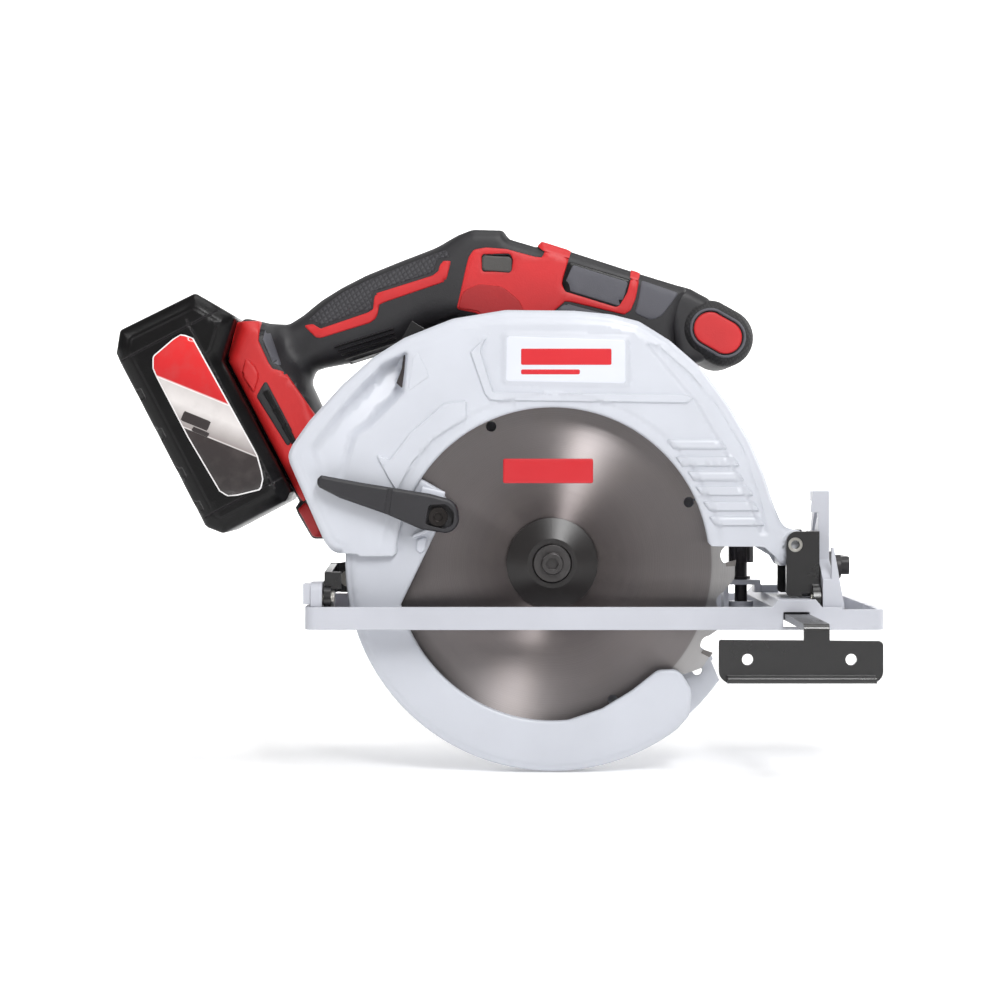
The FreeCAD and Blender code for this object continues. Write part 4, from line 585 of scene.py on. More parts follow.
CAST_ALLOY = plated("cast_alloy", linear(150, 150, 152), 0.45)
BLADE_STEEL = blade_steel()
LABEL_FILM = label_film()
LAMINATION = laminated()
BOARD = moulded("circuit_board", linear(20, 84, 50), 0.4)
CELL_WRAP = moulded("cell_wrap", linear(40, 90, 140), 0.3)
FLANGE_BLACK = painted("flange_blacking", linear(34, 31, 31), 0.3, 1500.0, 0.00002, 0.0004, 3.0)

BOLT_STEEL = plated("bolt_steel", linear(84, 82, 82), 0.34)
MARK_RED = painted("mark_red", linear(206, 24, 36), 0.35, coat=0.3)
LABEL_WHITE = painted("label_white", linear(236, 234, 234), 0.35, coat=0.4)
# dark film for the label's print, also used as painted shade in the chip outlet's mouth
DARK_PRINT_AND_SHADE = painted("dark_print_and_painted_shade", linear(44, 36, 36), 0.35, coat=0.4)

# finish, body and slot of pieces that share them
ON_UPPER_GUARD = (GUARD_PAINT, "saw", "guard_grey")
ON_LOWER_GUARD = (GUARD_PAINT, "lower_guard", "guard_grey")
ON_LOWER_DETAIL = (PANEL_PAINT, "lower_guard", "guard_grey")
ON_BATTERY = (BATTERY_CASE, "battery", "battery_black")
ON_LABEL = (DARK_PRINT_AND_SHADE, "battery", "label")

FINISHES = {
    "base_plate": BASE_PAINT, "bevel_quadrant": BASE_PAINT, "rear_ear": BASE_PAINT,
    "upper_guard": GUARD_PAINT, "lower_guard": GUARD_PAINT, "front_bracket": BLACK_PAINT,
    "rear_bracket": BLACK_PAINT, "depth_guide": BLACK_PAINT, "rip_fence": BLACK_PAINT,
    "base_rivets": ZINC, "fence_clamp_plate": BASE_PAINT, "guide_rivets": ZINC, "bevel_pins": ZINC,
    "depth_pivot_pin": ZINC, "bevel_bolt": ZINC, "gear_case_screws": ZINC, "depth_clamp_bolt": ZINC,
    "lever_screw": DARK_STEEL, "shell_screws": DARK_STEEL, "guard_retainer": ZINC,
    "fence_clamp_knob": KNOB_PLASTIC, "bevel_knob": KNOB_PLASTIC, "guard_lever": LEVER_PLASTIC,
    "depth_lever": LEVER_PLASTIC, "trigger": BLACK_SHELL, "spindle_lock": KNOB_PLASTIC,
    "motor_cap": MOTOR_PLASTIC, "switch_module": BLACK_SHELL, "terminal_block": BLACK_SHELL,
    "lock_off_button": BUTTON_GREY, "right_shell": BLACK_SHELL, "left_shell": BLACK_SHELL,
    "grip_rubber": GRIP_KNURL, "front_grip": GRIP_SOFT, "grip_insets": RED_SHELL,
    "motor_housing": MOTOR_PLASTIC, "gear_case": CAST_ALLOY, "gear_cover": CAST_ALLOY,
    "saw_blade": BLADE_STEEL, "carbide_teeth": CARBIDE, "spindle": BRIGHT_STEEL,
    "outer_flange": FLANGE_BLACK, "inner_flange": BRIGHT_STEEL, "blade_bolt": BOLT_STEEL,
    "large_gear": BRIGHT_STEEL, "rotor_shaft": BRIGHT_STEEL, "front_spindle_bearing": BRIGHT_STEEL,
    "rear_spindle_bearing": BRIGHT_STEEL, "front_rotor_bearing": BRIGHT_STEEL,
    "rear_rotor_bearing": BRIGHT_STEEL, "guard_spring": BRIGHT_STEEL, "stator": LAMINATION,
    "rotor_core": LAMINATION, "cooling_fan": BLACK_SHELL, "controller_board": BOARD,
    "battery_rail_half": BATTERY_CASE, "battery_outer_half": BATTERY_CASE, "battery_latch": BATTERY_CASE,
    "battery_cells": CELL_WRAP, "battery_label": LABEL_FILM,
}


def dress_cad():
    for node, material in FINISHES.items():
        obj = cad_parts[node]
        for slot in obj.material_slots:
            slot.material = material


# ---------------------------------------------------------------- handle
HANDLE_LOOP = soften([
    on_foot(0, 0), on_foot(15.8, -14.6) + (4.0,), on_foot(24.6, -7.6) + (5.0,), (-121.0, 137.2, 5.0),
    (-114.6, 141.0, 12.0), (-105.7, 148.2, 30.0), (-96.6, 153.9, 40.0), (-85.1, 159.8, 50.0),
    (-69.1, 166.3, 50.0), (-51.9, 172.9, 40.0), (-43.5, 177.6, 12.0), (-36.0, 180.4, 8.0),
    (-22.0, 180.1, 3.0), (-19.0, 176.0, 4.0), (-6.1, 172.2, 2.0), (-4.0, 174.4, 1.5), (9.6, 170.1, 2.0),
    (37.5, 161.1, 3.0), (64.0, 153.0, 5.0), (60.5, 146.0, 4.0), (57.0, 134.0, 10.0), (58.0, 121.0, 10.0),
    (50.0, 100.0, 20.0), (44.0, 76.0, 8.0),
] + arc((7.7, 49.34), 33.6, 38, 176, 16) + [
    (-44.0, 50.0, 5.0), (-93.0, 50.0, 8.0), on_foot(9.0, 88.0) + (3.0,), on_foot(4.0, 93.5) + (3.0,),
    on_foot(-2.6, 90.0) + (3.0,), on_foot(-3.4, 74.0) + (1.0,), on_foot(0, 72.0),
])
FINGER_LOOP = soften([
    (-110.8, 110.0, 6.0), (-108.6, 116.0, 4.0), (-104.0, 117.4, 5.0), (-90.0, 120.0, 20.0),
    (-70.0, 126.8, 20.0), (-56.0, 135.4, 10.0), (-42.0, 140.4, 4.0), (-34.0, 138.0, 6.0),
    (-31.0, 112.0, 20.0), (-26.8, 92.0, 4.0), (-46.0, 70.0, 12.0), (-52.0, 67.0, 6.0),
    (-84.0, 67.0, 10.0), (-94.0, 74.0, 6.0),
])
FOOT_LOOP = soften([
    on_foot(-6, -2), on_foot(14.5, -20.0) + (4.0,), on_foot(24.0, -11.0) + (6.0,),
    on_foot(22.5, 8.0) + (10.0,), on_foot(27.8, 30.0) + (10.0,), (-107.0, 97.0, 10.0), (-94.0, 74.0, 8.0),
    (-86.0, 44.0), on_foot(9.0, 92.0) + (3.0,), on_foot(-6.0, 96.0), on_foot(-8.0, 74.0),
])


def handle_depth(points):
    d = np.minimum(signed(points, HANDLE_LOOP), -signed(points, FINGER_LOOP))
    return np.maximum(d, 0)


def handle_side(points, depth=None):
    """How far the handle's side stands from its middle plane."""
    points = np.asarray(points, float)
    if depth is None:
        depth = handle_depth(points)
    bulge = smooth(signed(points, FOOT_LOOP) / 8 + 0.5)
    half = HANDLE_HALF + (FOOT_HALF - HANDLE_HALF) * bulge
    radius = 11.5 - 6.5 * smooth((points[:, 0] + 58) / 22) - 5.5 * bulge
    neck = np.exp(-((points[:, 0] + 118) / 7.5) ** 2 - ((points[:, 1] - 130) / 14) ** 2)
    return half - edge_drop(depth, radius) - 2.4 * neck * (1 - bulge)


def make_handle():
    form("handle_body", [HANDLE_LOOP, FINGER_LOOP],
         lambda p, d: HANDLE_Y - handle_side(p, d), lambda p, d: HANDLE_Y + handle_side(p, d),
         BLACK_SHELL, "saw", "handle_shell", 2.6, (0.3, 1.0, 2.2, 3.8, 5.8, 8.4, 11.4),
         replaces=("right_shell", "left_shell", "grip_rubber"))


def skin(name, loop, lift, material, slot="handle_shell", spacing=2.2, edge=0.7, sides=(0, 1), holes=()):
    """A raised patch that follows the handle's side, on one or both sides."""
    for side in sides:
        way = -1 if side == 0 else 1

        def outer(points, depth):
            rise = lift - edge_drop(depth, edge) * lift / edge
            return HANDLE_Y + way * (handle_side(points) + rise - 0.25)

        def inner(points, depth):
            return HANDLE_Y + way * (handle_side(points) - 0.9)

        form(name + ("_right", "_left")[side], [loop] + list(holes), outer, inner, material, "saw", slot,
             spacing, (0.15, 0.4, edge))


def wrap(name, loop, lift, material):
    """A band right round the handle, a little proud of it."""
    def half(points):
        depth = np.maximum(np.minimum(signed(points, HANDLE_LOOP), -signed(points, FINGER_LOOP)) + lift, 0)
        return handle_side(points, depth) + lift

    form(name, [loop], lambda p, d: HANDLE_Y - half(p), lambda p, d: HANDLE_Y + half(p), material, "saw",
         "handle_shell", 1.6, (0.3, 1.0, 2.2, 4.0))


def make_handle_trim():
    # knurled rubber over the upper grip, in two fields beside the stripes
    skin("grip_rubber_upper", soften([
        (-111.5, 138.6, 2.0), (-104.0, 145.6, 10.0), (-95.5, 151.6, 20.0), (-85.1, 156.6, 20.0),
        (-69.1, 163.2, 20.0), (-53.0, 169.4, 5.0), (-47.6, 171.0, 2.0), (-46.4, 167.4, 1.0),
        (-52.0, 166.6, 1.5), (-53.2, 161.5, 2.0), (-55.0, 159.9, 1.5), (-81.6, 151.6, 1.0),
        (-82.0, 142.9, 1.0), (-85.0, 143.0, 1.0), (-105.0, 136.0, 2.0), (-109.4, 138.2, 1.0),
    ]), 0.5, GRIP_KNURL, "grip_rubber", 1.6)
    skin("stripe", soften([
        (-113.6, 136.2), (-109.2, 137.0), (-105.7, 134.6), (-84.6, 141.8), (-81.6, 143.2), (-80.8, 150.6),
        (-54.2, 159.0), (-51.7, 160.9), (-50.4, 165.5), (-45.6, 166.0), (-47.9, 156.3), (-78.4, 145.9),
        (-79.6, 139.6), (-82.8, 137.2), (-106.9, 129.8)], 0.7), 0.8, RED_SHELL)
    # slanted black strips under the stripes where the grip's vent slots are: painted shade of the slots
    for index in range(5):
        x, z = -99.6 + 1.6 * index, 126.4 - 2.0 * index * 0.8
        length = 29.0 - 1.2 * index
        dx, dz = 0.953, 0.303
        skin("grip_vent_shade_%d" % (index + 1), soften([
            (x, z), (x + dx * length, z + dz * length), (x + dx * length + 0.36, z + dz * length - 1.1),
            (x + 0.36, z - 1.1)], 0.5), 1.1, BATTERY_CASE, "grip_rubber", 1.0, 0.5)
    body = soften([
        (-38.0, 167.0, 3.0), (-35.5, 170.8, 3.0), (-30.0, 171.9, 3.0), (-20.6, 171.2, 3.0),
        (-4.8, 166.9, 1.0), (-3.6, 168.2, 0.5), (-2.6, 171.0, 0.5), (8.6, 167.6, 0.5), (7.4, 163.6, 1.0),
        (5.0, 155.8, 2.0), (6.2, 152.0, 1.5), (30.6, 144.5, 2.5), (34.6, 150.9, 2.0), (36.6, 158.6, 0.5),
        (40.6, 157.4, 0.5), (38.9, 148.2, 3.0), (36.6, 142.9, 3.0), (33.6, 140.9, 2.0), (7.0, 147.3, 1.0),
        (1.9, 142.9, 2.0), (-6.0, 134.0, 4.0), (-24.5, 128.0, 4.0), (-33.2, 141.4, 5.0),
        (-43.4, 143.6, 2.0), (-42.5, 147.0, 5.0),
    ])
    window = soften([(-31.6, 168.4), (-19.0, 168.7), (-17.6, 166.8), (-18.3, 161.3), (-31.3, 160.9)], 1.6)
    skin("red_body", body, 1.0, RED_SHELL, sides=(0,), holes=(window,))
    skin("red_body_far", body, 1.0, RED_SHELL, sides=(1,))
    skin("red_disc", soften([
        (-42.6, 143.9, 1.0), (-40.6, 151.8, 6.0), (-33.0, 155.2, 8.0), (-22.0, 154.0, 8.0), (-14.2, 147.4, 6.0),
        (-10.4, 139.0, 1.0), (-24.0, 129.4, 3.0), (-33.0, 142.4, 4.0)]), 1.35, RED_DEEP, edge=0.4)
    wrap("red_hump", soften([(-6.3, 172.6, 1.0), (-4.2, 175.0, 1.2), (9.4, 170.7, 0.6), (8.4, 166.8),
                              (-3.4, 170.2)]),
         0.55, RED_SHELL)
    wrap("red_band", soften([(36.7, 161.9), (41.0, 160.5), (40.2, 156.4), (36.2, 157.6)], 0.3), 0.55, RED_SHELL)
    # textured grey panels along the front arm; the first has a thin black border below its edge
    skin("panel_border", soften([
        (8.0, 165.6), (37.2, 156.9), (33.8, 145.6), (31.2, 143.3), (5.6, 151.2), (4.4, 154.6)], 2.0),
        0.8, BATTERY_CASE)
    skin("panel", soften([
        (10.0, 164.0), (35.7, 156.0), (32.7, 146.2), (31.0, 144.7), (7.0, 152.1), (5.8, 154.6)], 1.6), 1.15,
        GREY_PANEL, edge=0.5)
    skin("panel_front", soften([
        (41.4, 156.9), (58.6, 151.0), (55.5, 146.6), (51.0, 140.6), (46.0, 138.2), (38.4, 141.6),
        (40.2, 149.0)], 1.2), 0.7, GREY_PANEL)
    skin("wedge", soften([(2.4, 142.9), (6.6, 146.4), (13.3, 144.5), (25.3, 141.4), (10.0, 138.0)], 0.8),
         0.7, GREY_PANEL)
    skin("lock_frame", soften([
        (-31.9, 168.9), (-18.8, 169.1), (-17.1, 167.0), (-17.9, 160.9), (-31.7, 160.4)], 1.8),
        1.25, BATTERY_CASE, edge=0.4, sides=(0,), holes=(soften([
            (-31.1, 167.9), (-19.2, 168.1), (-18.2, 166.6), (-18.8, 161.8), (-30.9, 161.4)], 1.4),))
    # foot: red cheek with a window, a raised diamond, a ribbed insert and a lower lip
    skin("foot_cheek", soften([
        on_foot(1.0, -1.0), on_foot(12.6, -14.0) + (1.5,), (-132.0, 138.2, 1.5), (-133.3, 129.1, 1.5),
        (-127.4, 116.2, 1.5), (-121.0, 114.6, 1.5), (-107.6, 95.4, 3.0), (-104.5, 88.0, 2.0),
        (-112.0, 78.0, 3.0), (-108.0, 60.0, 3.0), (-113.0, 55.0, 2.0), on_foot(1.0, 70.0)]), 1.0, RED_FOOT)
    skin("foot_window", soften([
        (-130.4, 134.4), (-128.6, 133.8), (-125.0, 123.6), (-122.6, 117.0), (-126.6, 118.2),
        (-131.4, 129.0)], 1.0), 0.8, GREY_PANEL)
    skin("foot_diamond", soften([(-139.2, 120.6), (-135.4, 118.8), (-132.4, 113.0), (-135.2, 104.4),
                                 (-141.2, 113.2)], 0.8), 2.0, RED_FOOT, spacing=1.1, edge=0.9)
    skin("foot_insert", soften([(-129.9, 111.4), (-116.6, 86.0), (-119.6, 79.6), (-134.4, 103.4)], 1.5), 1.5,
         BLACK_SHELL)
    for index in range(3):
        x, z = -131.6 + 4.3 * index, 105.4 - 7.8 * index
        skin("insert_rib_%d" % (index + 1), soften([(x, z), (x + 3.2, z + 1.4), (x + 7.4, z - 7.0),
                                                    (x + 5.0, z - 8.4)],
                                                   0.5), 2.2, BATTERY_CASE, spacing=1.0, edge=0.5)
    skin("foot_lip", soften([
        on_foot(-2.0, 75.0), on_foot(2.4, 73.5), (-110.5, 53.8, 1.0), (-103.4, 48.0, 2.0),
        on_foot(9.2, 87.0) + (1.5,), on_foot(4.0, 92.6) + (1.5,), on_foot(-1.8, 89.4) + (1.5,)]),
        1.0, RED_DEEP)


def make_front_grip():
    """Auxiliary bar seen end on: a soft black section with a stepped ring and an inset at each end."""
    def oval(half_long, half_short, count=40):
        loop = []
        straight = half_long - half_short
        for k in range(count):
            a = 2 * math.pi * k / count
            x = half_short * math.cos(a) + (straight if math.cos(a) > 0 else -straight)
            z = half_short * math.sin(a)
            t = math.radians(-30)
            loop.append((GRIP[0] + x * math.cos(t) - z * math.sin(t),
                         GRIP[1] + x * math.sin(t) + z * math.cos(t)))
        return loop

    pad("front_grip_bar", oval(17.4, 13.4), 26.3, 93.9, 7.0, GRIP_SOFT, "saw", "grip_rubber", 2.6,
        replaces=("front_grip", "grip_insets"))
    for y0, y1, tag in ((25.2, 28.0, "near"), (92.4, 95.0, "far")):
        pad("grip_ring_" + tag, oval(13.4, 9.4), y0, y1, 0.6, GREY_PANEL, "saw",
            "grip_rubber", 1.6, holes=(oval(12.2, 8.2),))
        set_back = {"near": (0.2, 0.0), "far": (0.0, 0.2)}[tag]
        pad("grip_inset_" + tag, oval(11.6, 7.6), y0 + set_back[0], y1 - set_back[1],
            0.8, RED_SHELL, "saw", "red_inset", 1.8)
    # cap that joins the bar to the handle's front end
    pad("grip_neck", soften([(50.0, 157.0, 2.0), (64.0, 153.4, 4.0), (74.0, 148.0, 4.0), (72.0, 120.0, 4.0),
                             (58.0, 117.0, 8.0), (54.5, 134.0, 6.0)]), 28.8, 59.2, 5.0, BLACK_SHELL,
        "saw", "grip_rubber")


# ---------------------------------------------------------------- guards
GUARD_OUTER = [
    (-97.2, 33.0), (-101.2, 38.0), (-116.4, 72.5), (-117.4, 76.6), (-115.6, 80.8), (-108.0, 91.6),
    (-93.5, 107.6), (-80.0, 119.6), (-66.0, 128.4), (-44.5, 137.0), (-21.0, 140.9), (9.5, 140.6),
    (26.0, 139.0), (38.5, 135.8), (52.0, 127.4), (66.0, 115.2), (78.0, 99.0), (87.5, 83.0), (93.4, 69.0),
    (97.6, 56.0), (100.6, 48.2), (103.0, 44.6), (107.0, 43.6), (111.7, 41.7), (113.6, 37.0),
    (111.7, 32.3), (107.0, 30.4), (103.4, 27.4),
]
GUARD_BOTTOM = [(99.0, 31.2), (94.0, 35.6), (90.8, 36.0), (70.6, 36.1)]


def guard_face_loop():
    window = arc(SPINDLE, WINDOW_R, 8, 173, 60)
    rear = [(-68.8, 33.4), (-71.0, 31.8), (-85.2, 31.7), (-86.6, 32.8)]
    return soften([p + (8.0,) for p in GUARD_OUTER], 8.0, 4) + GUARD_BOTTOM + window + rear


def feature(points, loop, lift, width=0.6):
    """A raised (or, with a negative lift, sunken) field with soft edges."""
    return lift * smooth(signed(points, loop) / width)


CHIP_LOOP = soften([
    (-63.4, 124.2, 2.0), (-65.2, 103.6, 2.0), (-80.3, 88.2, 4.0), (-86.0, 84.6, 5.0), (-91.3, 67.0, 6.0),
    (-99.1, 59.6, 3.0), (-104.0, 68.8, 3.0), (-108.6, 79.9, 6.0), (-94.1, 98.2, 8.0), (-76.0, 117.6, 8.0)])
CHEVRON_LOOP = soften([
    (-26.7, 131.6), (-29.6, 127.6), (-31.8, 122.4), (-26.2, 104.6), (59.0, 103.4), (62.5, 101.6), (59.9, 99.3),
    (-27.8, 100.4), (-30.4, 103.6), (-36.8, 122.1)], 0.8)
PANEL_LOOP = soften([(-22.0, 130.8), (33.8, 128.8), (34.0, 106.6), (-22.4, 107.6)], 2.6)
ARC_STEP_LOOP = soften([
    (-79.0, 77.6), (-72.3, 74.6), (-62.7, 87.0), (-48.0, 99.6), (-38.0, 100.6), (-38.0, 92.0), (-52.0, 84.0),
    (-62.0, 73.0), (-69.0, 60.0), (-72.6, 65.6)], 1.2)
FACET_LOOP = soften([
    (40.6, 126.4), (62.5, 101.0), (73.4, 83.0), (84.0, 62.0), (92.0, 42.0), (95.6, 42.0), (92.0, 58.0),
    (84.4, 80.0), (73.6, 98.0), (61.0, 113.0), (47.0, 125.2)], 1.5)
RIB_LOOPS = [soften([(x0, z), (x1 - 2.6, z), (x1 + 0.6, z - 4.6), (x0 + 3.4, z - 4.6)], 0.8)
             for x0, x1, z in ((50.0, 77.0, 83.6), (53.8, 82.6, 76.0), (59.0, 84.6, 69.6), (62.6, 88.8, 63.0),
                               (66.0, 91.4, 56.2), (68.6, 93.6, 49.6))]


def guard_relief(points, outer_depth):
    y = np.full(len(points), GUARD_NEAR)
    y = y + edge_drop(outer_depth, 3.4)
    y += 0.55 * smooth((5.2 - outer_depth) / 0.8)
    window = np.hypot(points[:, 0] - SPINDLE[0], points[:, 1] - SPINDLE[1]) - WINDOW_R
    y += edge_drop(np.maximum(window, 0), 0.9)
    y += 0.7 * smooth((6.4 - window) / 0.9) * (points[:, 1] > 31)
    for loop, lift in ((CHEVRON_LOOP, 1.3), (PANEL_LOOP, 0.7), (ARC_STEP_LOOP, 1.1), (FACET_LOOP, -0.9)):
        y -= feature(points, loop, lift)
    for loop in RIB_LOOPS:
        y -= feature(points, loop, 1.25, 0.7)
    # hollow that throws the chips out: it deepens towards its upper end
    way = ((points[:, 0] + 100) * 0.62 + (points[:, 1] - 66) * 0.78) / 58
    y += feature(points, CHIP_LOOP, 1.0, 4.0) * (1.4 + 12.0 * np.clip(way, 0, 1) ** 1.4)
    return y


def make_upper_guard():
    outline = soften([p + (8.0,) for p in GUARD_OUTER], 8.0, 4)

    def face(points, depth):
        return guard_relief(points, distance(points, outline, closed=False))

    lines = []
    for loop in [CHIP_LOOP, CHEVRON_LOOP, PANEL_LOOP, ARC_STEP_LOOP, FACET_LOOP] + RIB_LOOPS:
        row = resample(loop, 1.2)
        lines.append(row)
        lines.append(inset_points(row, 0.6))
    lines.append(inset_points(resample(CHIP_LOOP, 1.5), 2.4))
    for depth in (0.3, 1.0, 2.0, 3.3, 4.3, 5.2):
        ring = inset_points(resample(GUARD_OUTER + [(0.0, 32.0)], 1.5), depth)
        lines.append(ring[ring[:, 1] > 36])
    for extra in (0.3, 0.9, 5.5, 6.4):
        lines.append(arc(SPINDLE, WINDOW_R + extra, 9, 172, 140))
    form("upper_guard_face", [guard_face_loop()], face,
         lambda p, d: np.maximum(face(p, d) + 1.6, GUARD_NEAR + 3.7),
         *ON_UPPER_GUARD, 1.8, (), lines, replaces=("upper_guard",), sharp=60)
    # wall round the blade, open below
    outer = [tuple(p) for p in outline]
    closed = outer + [(88.0, 36.0), (-86.6, 32.8)]
    inner = [tuple(p) for p in inset_points(closed, 2.6)[:len(outer)]]
    inner = [p for p in inner if p[1] > 33.5 and p[0] < 99]
    band = outer + list(reversed(inner))
    form("upper_guard_wall", [band], lambda p, d: np.full(len(p), GUARD_NEAR + 3.55),
         lambda p, d: GUARD_FAR - edge_drop(d, 1.0), *ON_UPPER_GUARD, 4.0, (0.3, 0.9), sharp=40)
    # far wall with the seat of the gear case
    back = (outer + [(99.0, 31.2), (90.8, 36.0), (25.0, 36.0)]
            + arc(SPINDLE, 24.9, 18, -198, 40) + [(-86.6, 32.8)])
    holes = [arc(SPINDLE, 21.3, 0, 352, 44)]
    pad("upper_guard_back", back, GUARD_FAR - 2.6, GUARD_FAR, 0.5, *ON_UPPER_GUARD, 5.0, holes)
    pad("upper_guard_lug", arc((107.0, 37.0), 6.5, 0, 345, 24), GUARD_NEAR, GUARD_FAR, 0.8,
        *ON_UPPER_GUARD, 2.0, [arc((107.0, 37.0), 3.3, 0, 340, 18)])
    guide = (-83.0, 33.7)
    pad("guide_boss", arc(guide, 6.0, 0, 345, 24), GUARD_FAR - 1.0, 20.6, 0.4, *ON_UPPER_GUARD, 2.0,
        [arc(guide, 3.0, 0, 340, 16)])
    pad("guide_boss_web", soften([(-91, 37.2), (-75, 37.2), (-74, 50), (-94, 50)], 2.0), GUARD_FAR - 2.6,
        GUARD_FAR, 0.5, *ON_UPPER_GUARD, 2.5)
    # plain panel with two printed bars
    pad("guard_panel", soften([(-20.4, 129.2), (32.2, 127.4), (32.4, 108.2), (-20.8, 109.2)], 1.8),
        GUARD_NEAR - 0.85, GUARD_NEAR + 0.6, 0.3, PANEL_PAINT, "saw", "guard_grey", 3.0)
    for index, (x0, x1, z0, z1) in enumerate(((-14.0, 26.0, 116.4, 123.6), (-14.0, 12.0, 112.2, 114.4))):
        pad("panel_mark_%d" % (index + 1), soften([(x0, z1), (x1, z1), (x1, z0), (x0, z0)], 0.8),
            GUARD_NEAR - 0.95, GUARD_NEAR - 0.6, 0.1, MARK_RED, "saw", "guard_grey", 1.2)
    # dark sheet in the chip outlet's mouth, painted shade of the opening, and the flap beside it
    pad("chip_outlet_shade_sheet", soften([
        (-66.0, 122.4), (-61.8, 124.0), (-60.0, 119.0), (-64.3, 105.0), (-69.6, 108.0), (-67.0, 115.0)], 0.8),
        GUARD_NEAR + 5.0, GUARD_NEAR + 12.0, 0.6, DARK_PRINT_AND_SHADE, "saw", "guard_grey", 2.0)
    pad("chip_flap", soften([(-61.6, 123.6), (-60.2, 123.8), (-54.0, 111.4), (-64.4, 104.2)], 1.0),
        GUARD_NEAR - 0.3, GUARD_NEAR + 7.0, 0.8, *ON_UPPER_GUARD, 2.0)


def make_blade_print():
    """One plain printed bar on the blade, on its near face only."""
    bar = soften([(-21.9, 75.0), (18.4, 75.0), (18.4, 64.0), (-21.9, 64.0)], 1.0)
    pad("blade_print", bar, -0.72, -0.5, 0.05, MARK_RED, "spindle", "label", 1.5)


def make_lower_guard():
    rim = 92.1
    mid = SPINDLE[1]
    nose = [(46.8, mid - 47.2, 6.0), (56.4, mid - 46.8, 6.0), (61.8, mid - 56.0, 6.0), (61.0, mid - 67.4, 6.0)]
    rim_arc = [p + (0.0,) for p in arc(SPINDLE, rim, 307, 149, 70)]
    rear = [(-70.0, 70.5, 3.0), (-58.0, 66.0, 3.0), (-48.5, 60.5, 3.0), (-46.5, 55.0, 4.0), (-52.2, 41.5, 4.0)]
    throat = [p + (0.0,) for p in arc(SPINDLE, 69.7, 195, 276, 40)]
    lip = [(22.0, mid - 64.4, 8.0), (35.2, mid - 56.4, 8.0)]
    crescent = soften(nose + rim_arc + rear + throat + lip)

    near = -11.2

    def face(points, depth):
        y = near + edge_drop(depth, 1.3)
        r = np.hypot(points[:, 0], points[:, 1] - SPINDLE[1])
        y = y + 0.7 * smooth((r - 88.6) / 1.4)
        return y

    rings = [arc(SPINDLE, radius, 302, 150, 110) for radius in (88.6, 89.3, 90.0)]
    form("lower_guard_face", [crescent], face, lambda p, d: np.full(len(p), near + 3.4),
         *ON_LOWER_GUARD, 2.2, (0.2, 0.6, 1.3), rings, replaces=("lower_guard",), sharp=50)
    band = arc(SPINDLE, rim, 302, 149, 90) + arc(SPINDLE, 90.2, 149, 302, 90)
    form("lower_guard_rim", [band], lambda p, d: np.full(len(p), near + 3.2),
         lambda p, d: 8.0 - edge_drop(d, 0.6), *ON_LOWER_GUARD, 3.0, (0.25, 0.6), sharp=40)
    plate = arc(SPINDLE, rim, 325, 149, 90) + arc(SPINDLE, 25.0, 126, 345, 30) + soften([
        (57.0, -4.0, 6.0), (71.0, -12.0, 5.0), (74.0, -17.5, 5.0)])
    pad("lower_guard_plate", plate, 6.4, 8.0, 0.4, *ON_LOWER_GUARD, 4.5,
        [arc((65.5, -20.3), 2.2, 0, 340, 14)])
    pad("lower_guard_hub", arc(SPINDLE, 25.0, 0, 354, 60), 6.4, 12.0, 0.5, *ON_LOWER_GUARD,
        3.0, [arc(SPINDLE, 21.1, 0, 354, 60)])
    pad("lever_post", arc((-50.5, 49.3), 6.0, 0, 345, 24), -16.9, near + 1.0, 0.4, *ON_LOWER_GUARD, 2.0,
        [arc((-50.5, 49.3), 2.0, 0, 330, 12)])
    tilt = math.radians(-13)
    tab = [(-53 + x * math.cos(tilt) - z * math.sin(tilt), 60 + x * math.sin(tilt) + z * math.cos(tilt))
           for x, z in ((-5.2, -1.8), (5.4, -1.8), (5.4, 1.6), (-5.2, 1.6))]
    pad("guard_tab", soften(tab, 0.8), near - 5.5, near + 0.5, 0.8, *ON_LOWER_DETAIL, 1.5)
    ledge = [(-62.0, 39.6), (-53.4, 43.1), (-54.0, 44.5), (-62.6, 41.0)]
    pad("guard_ledge", soften(ledge, 0.4), near - 3.0, near + 0.5, 0.4, *ON_LOWER_DETAIL, 1.5)
    pad("guard_pad", soften([(-60.2, 39.0), (-55.4, 40.8), (-56.4, 34.6), (-58.6, 32.6), (-60.6, 34.6)], 1.6),
        near - 1.4, near + 0.5, 0.9, *ON_LOWER_DETAIL, 1.5)


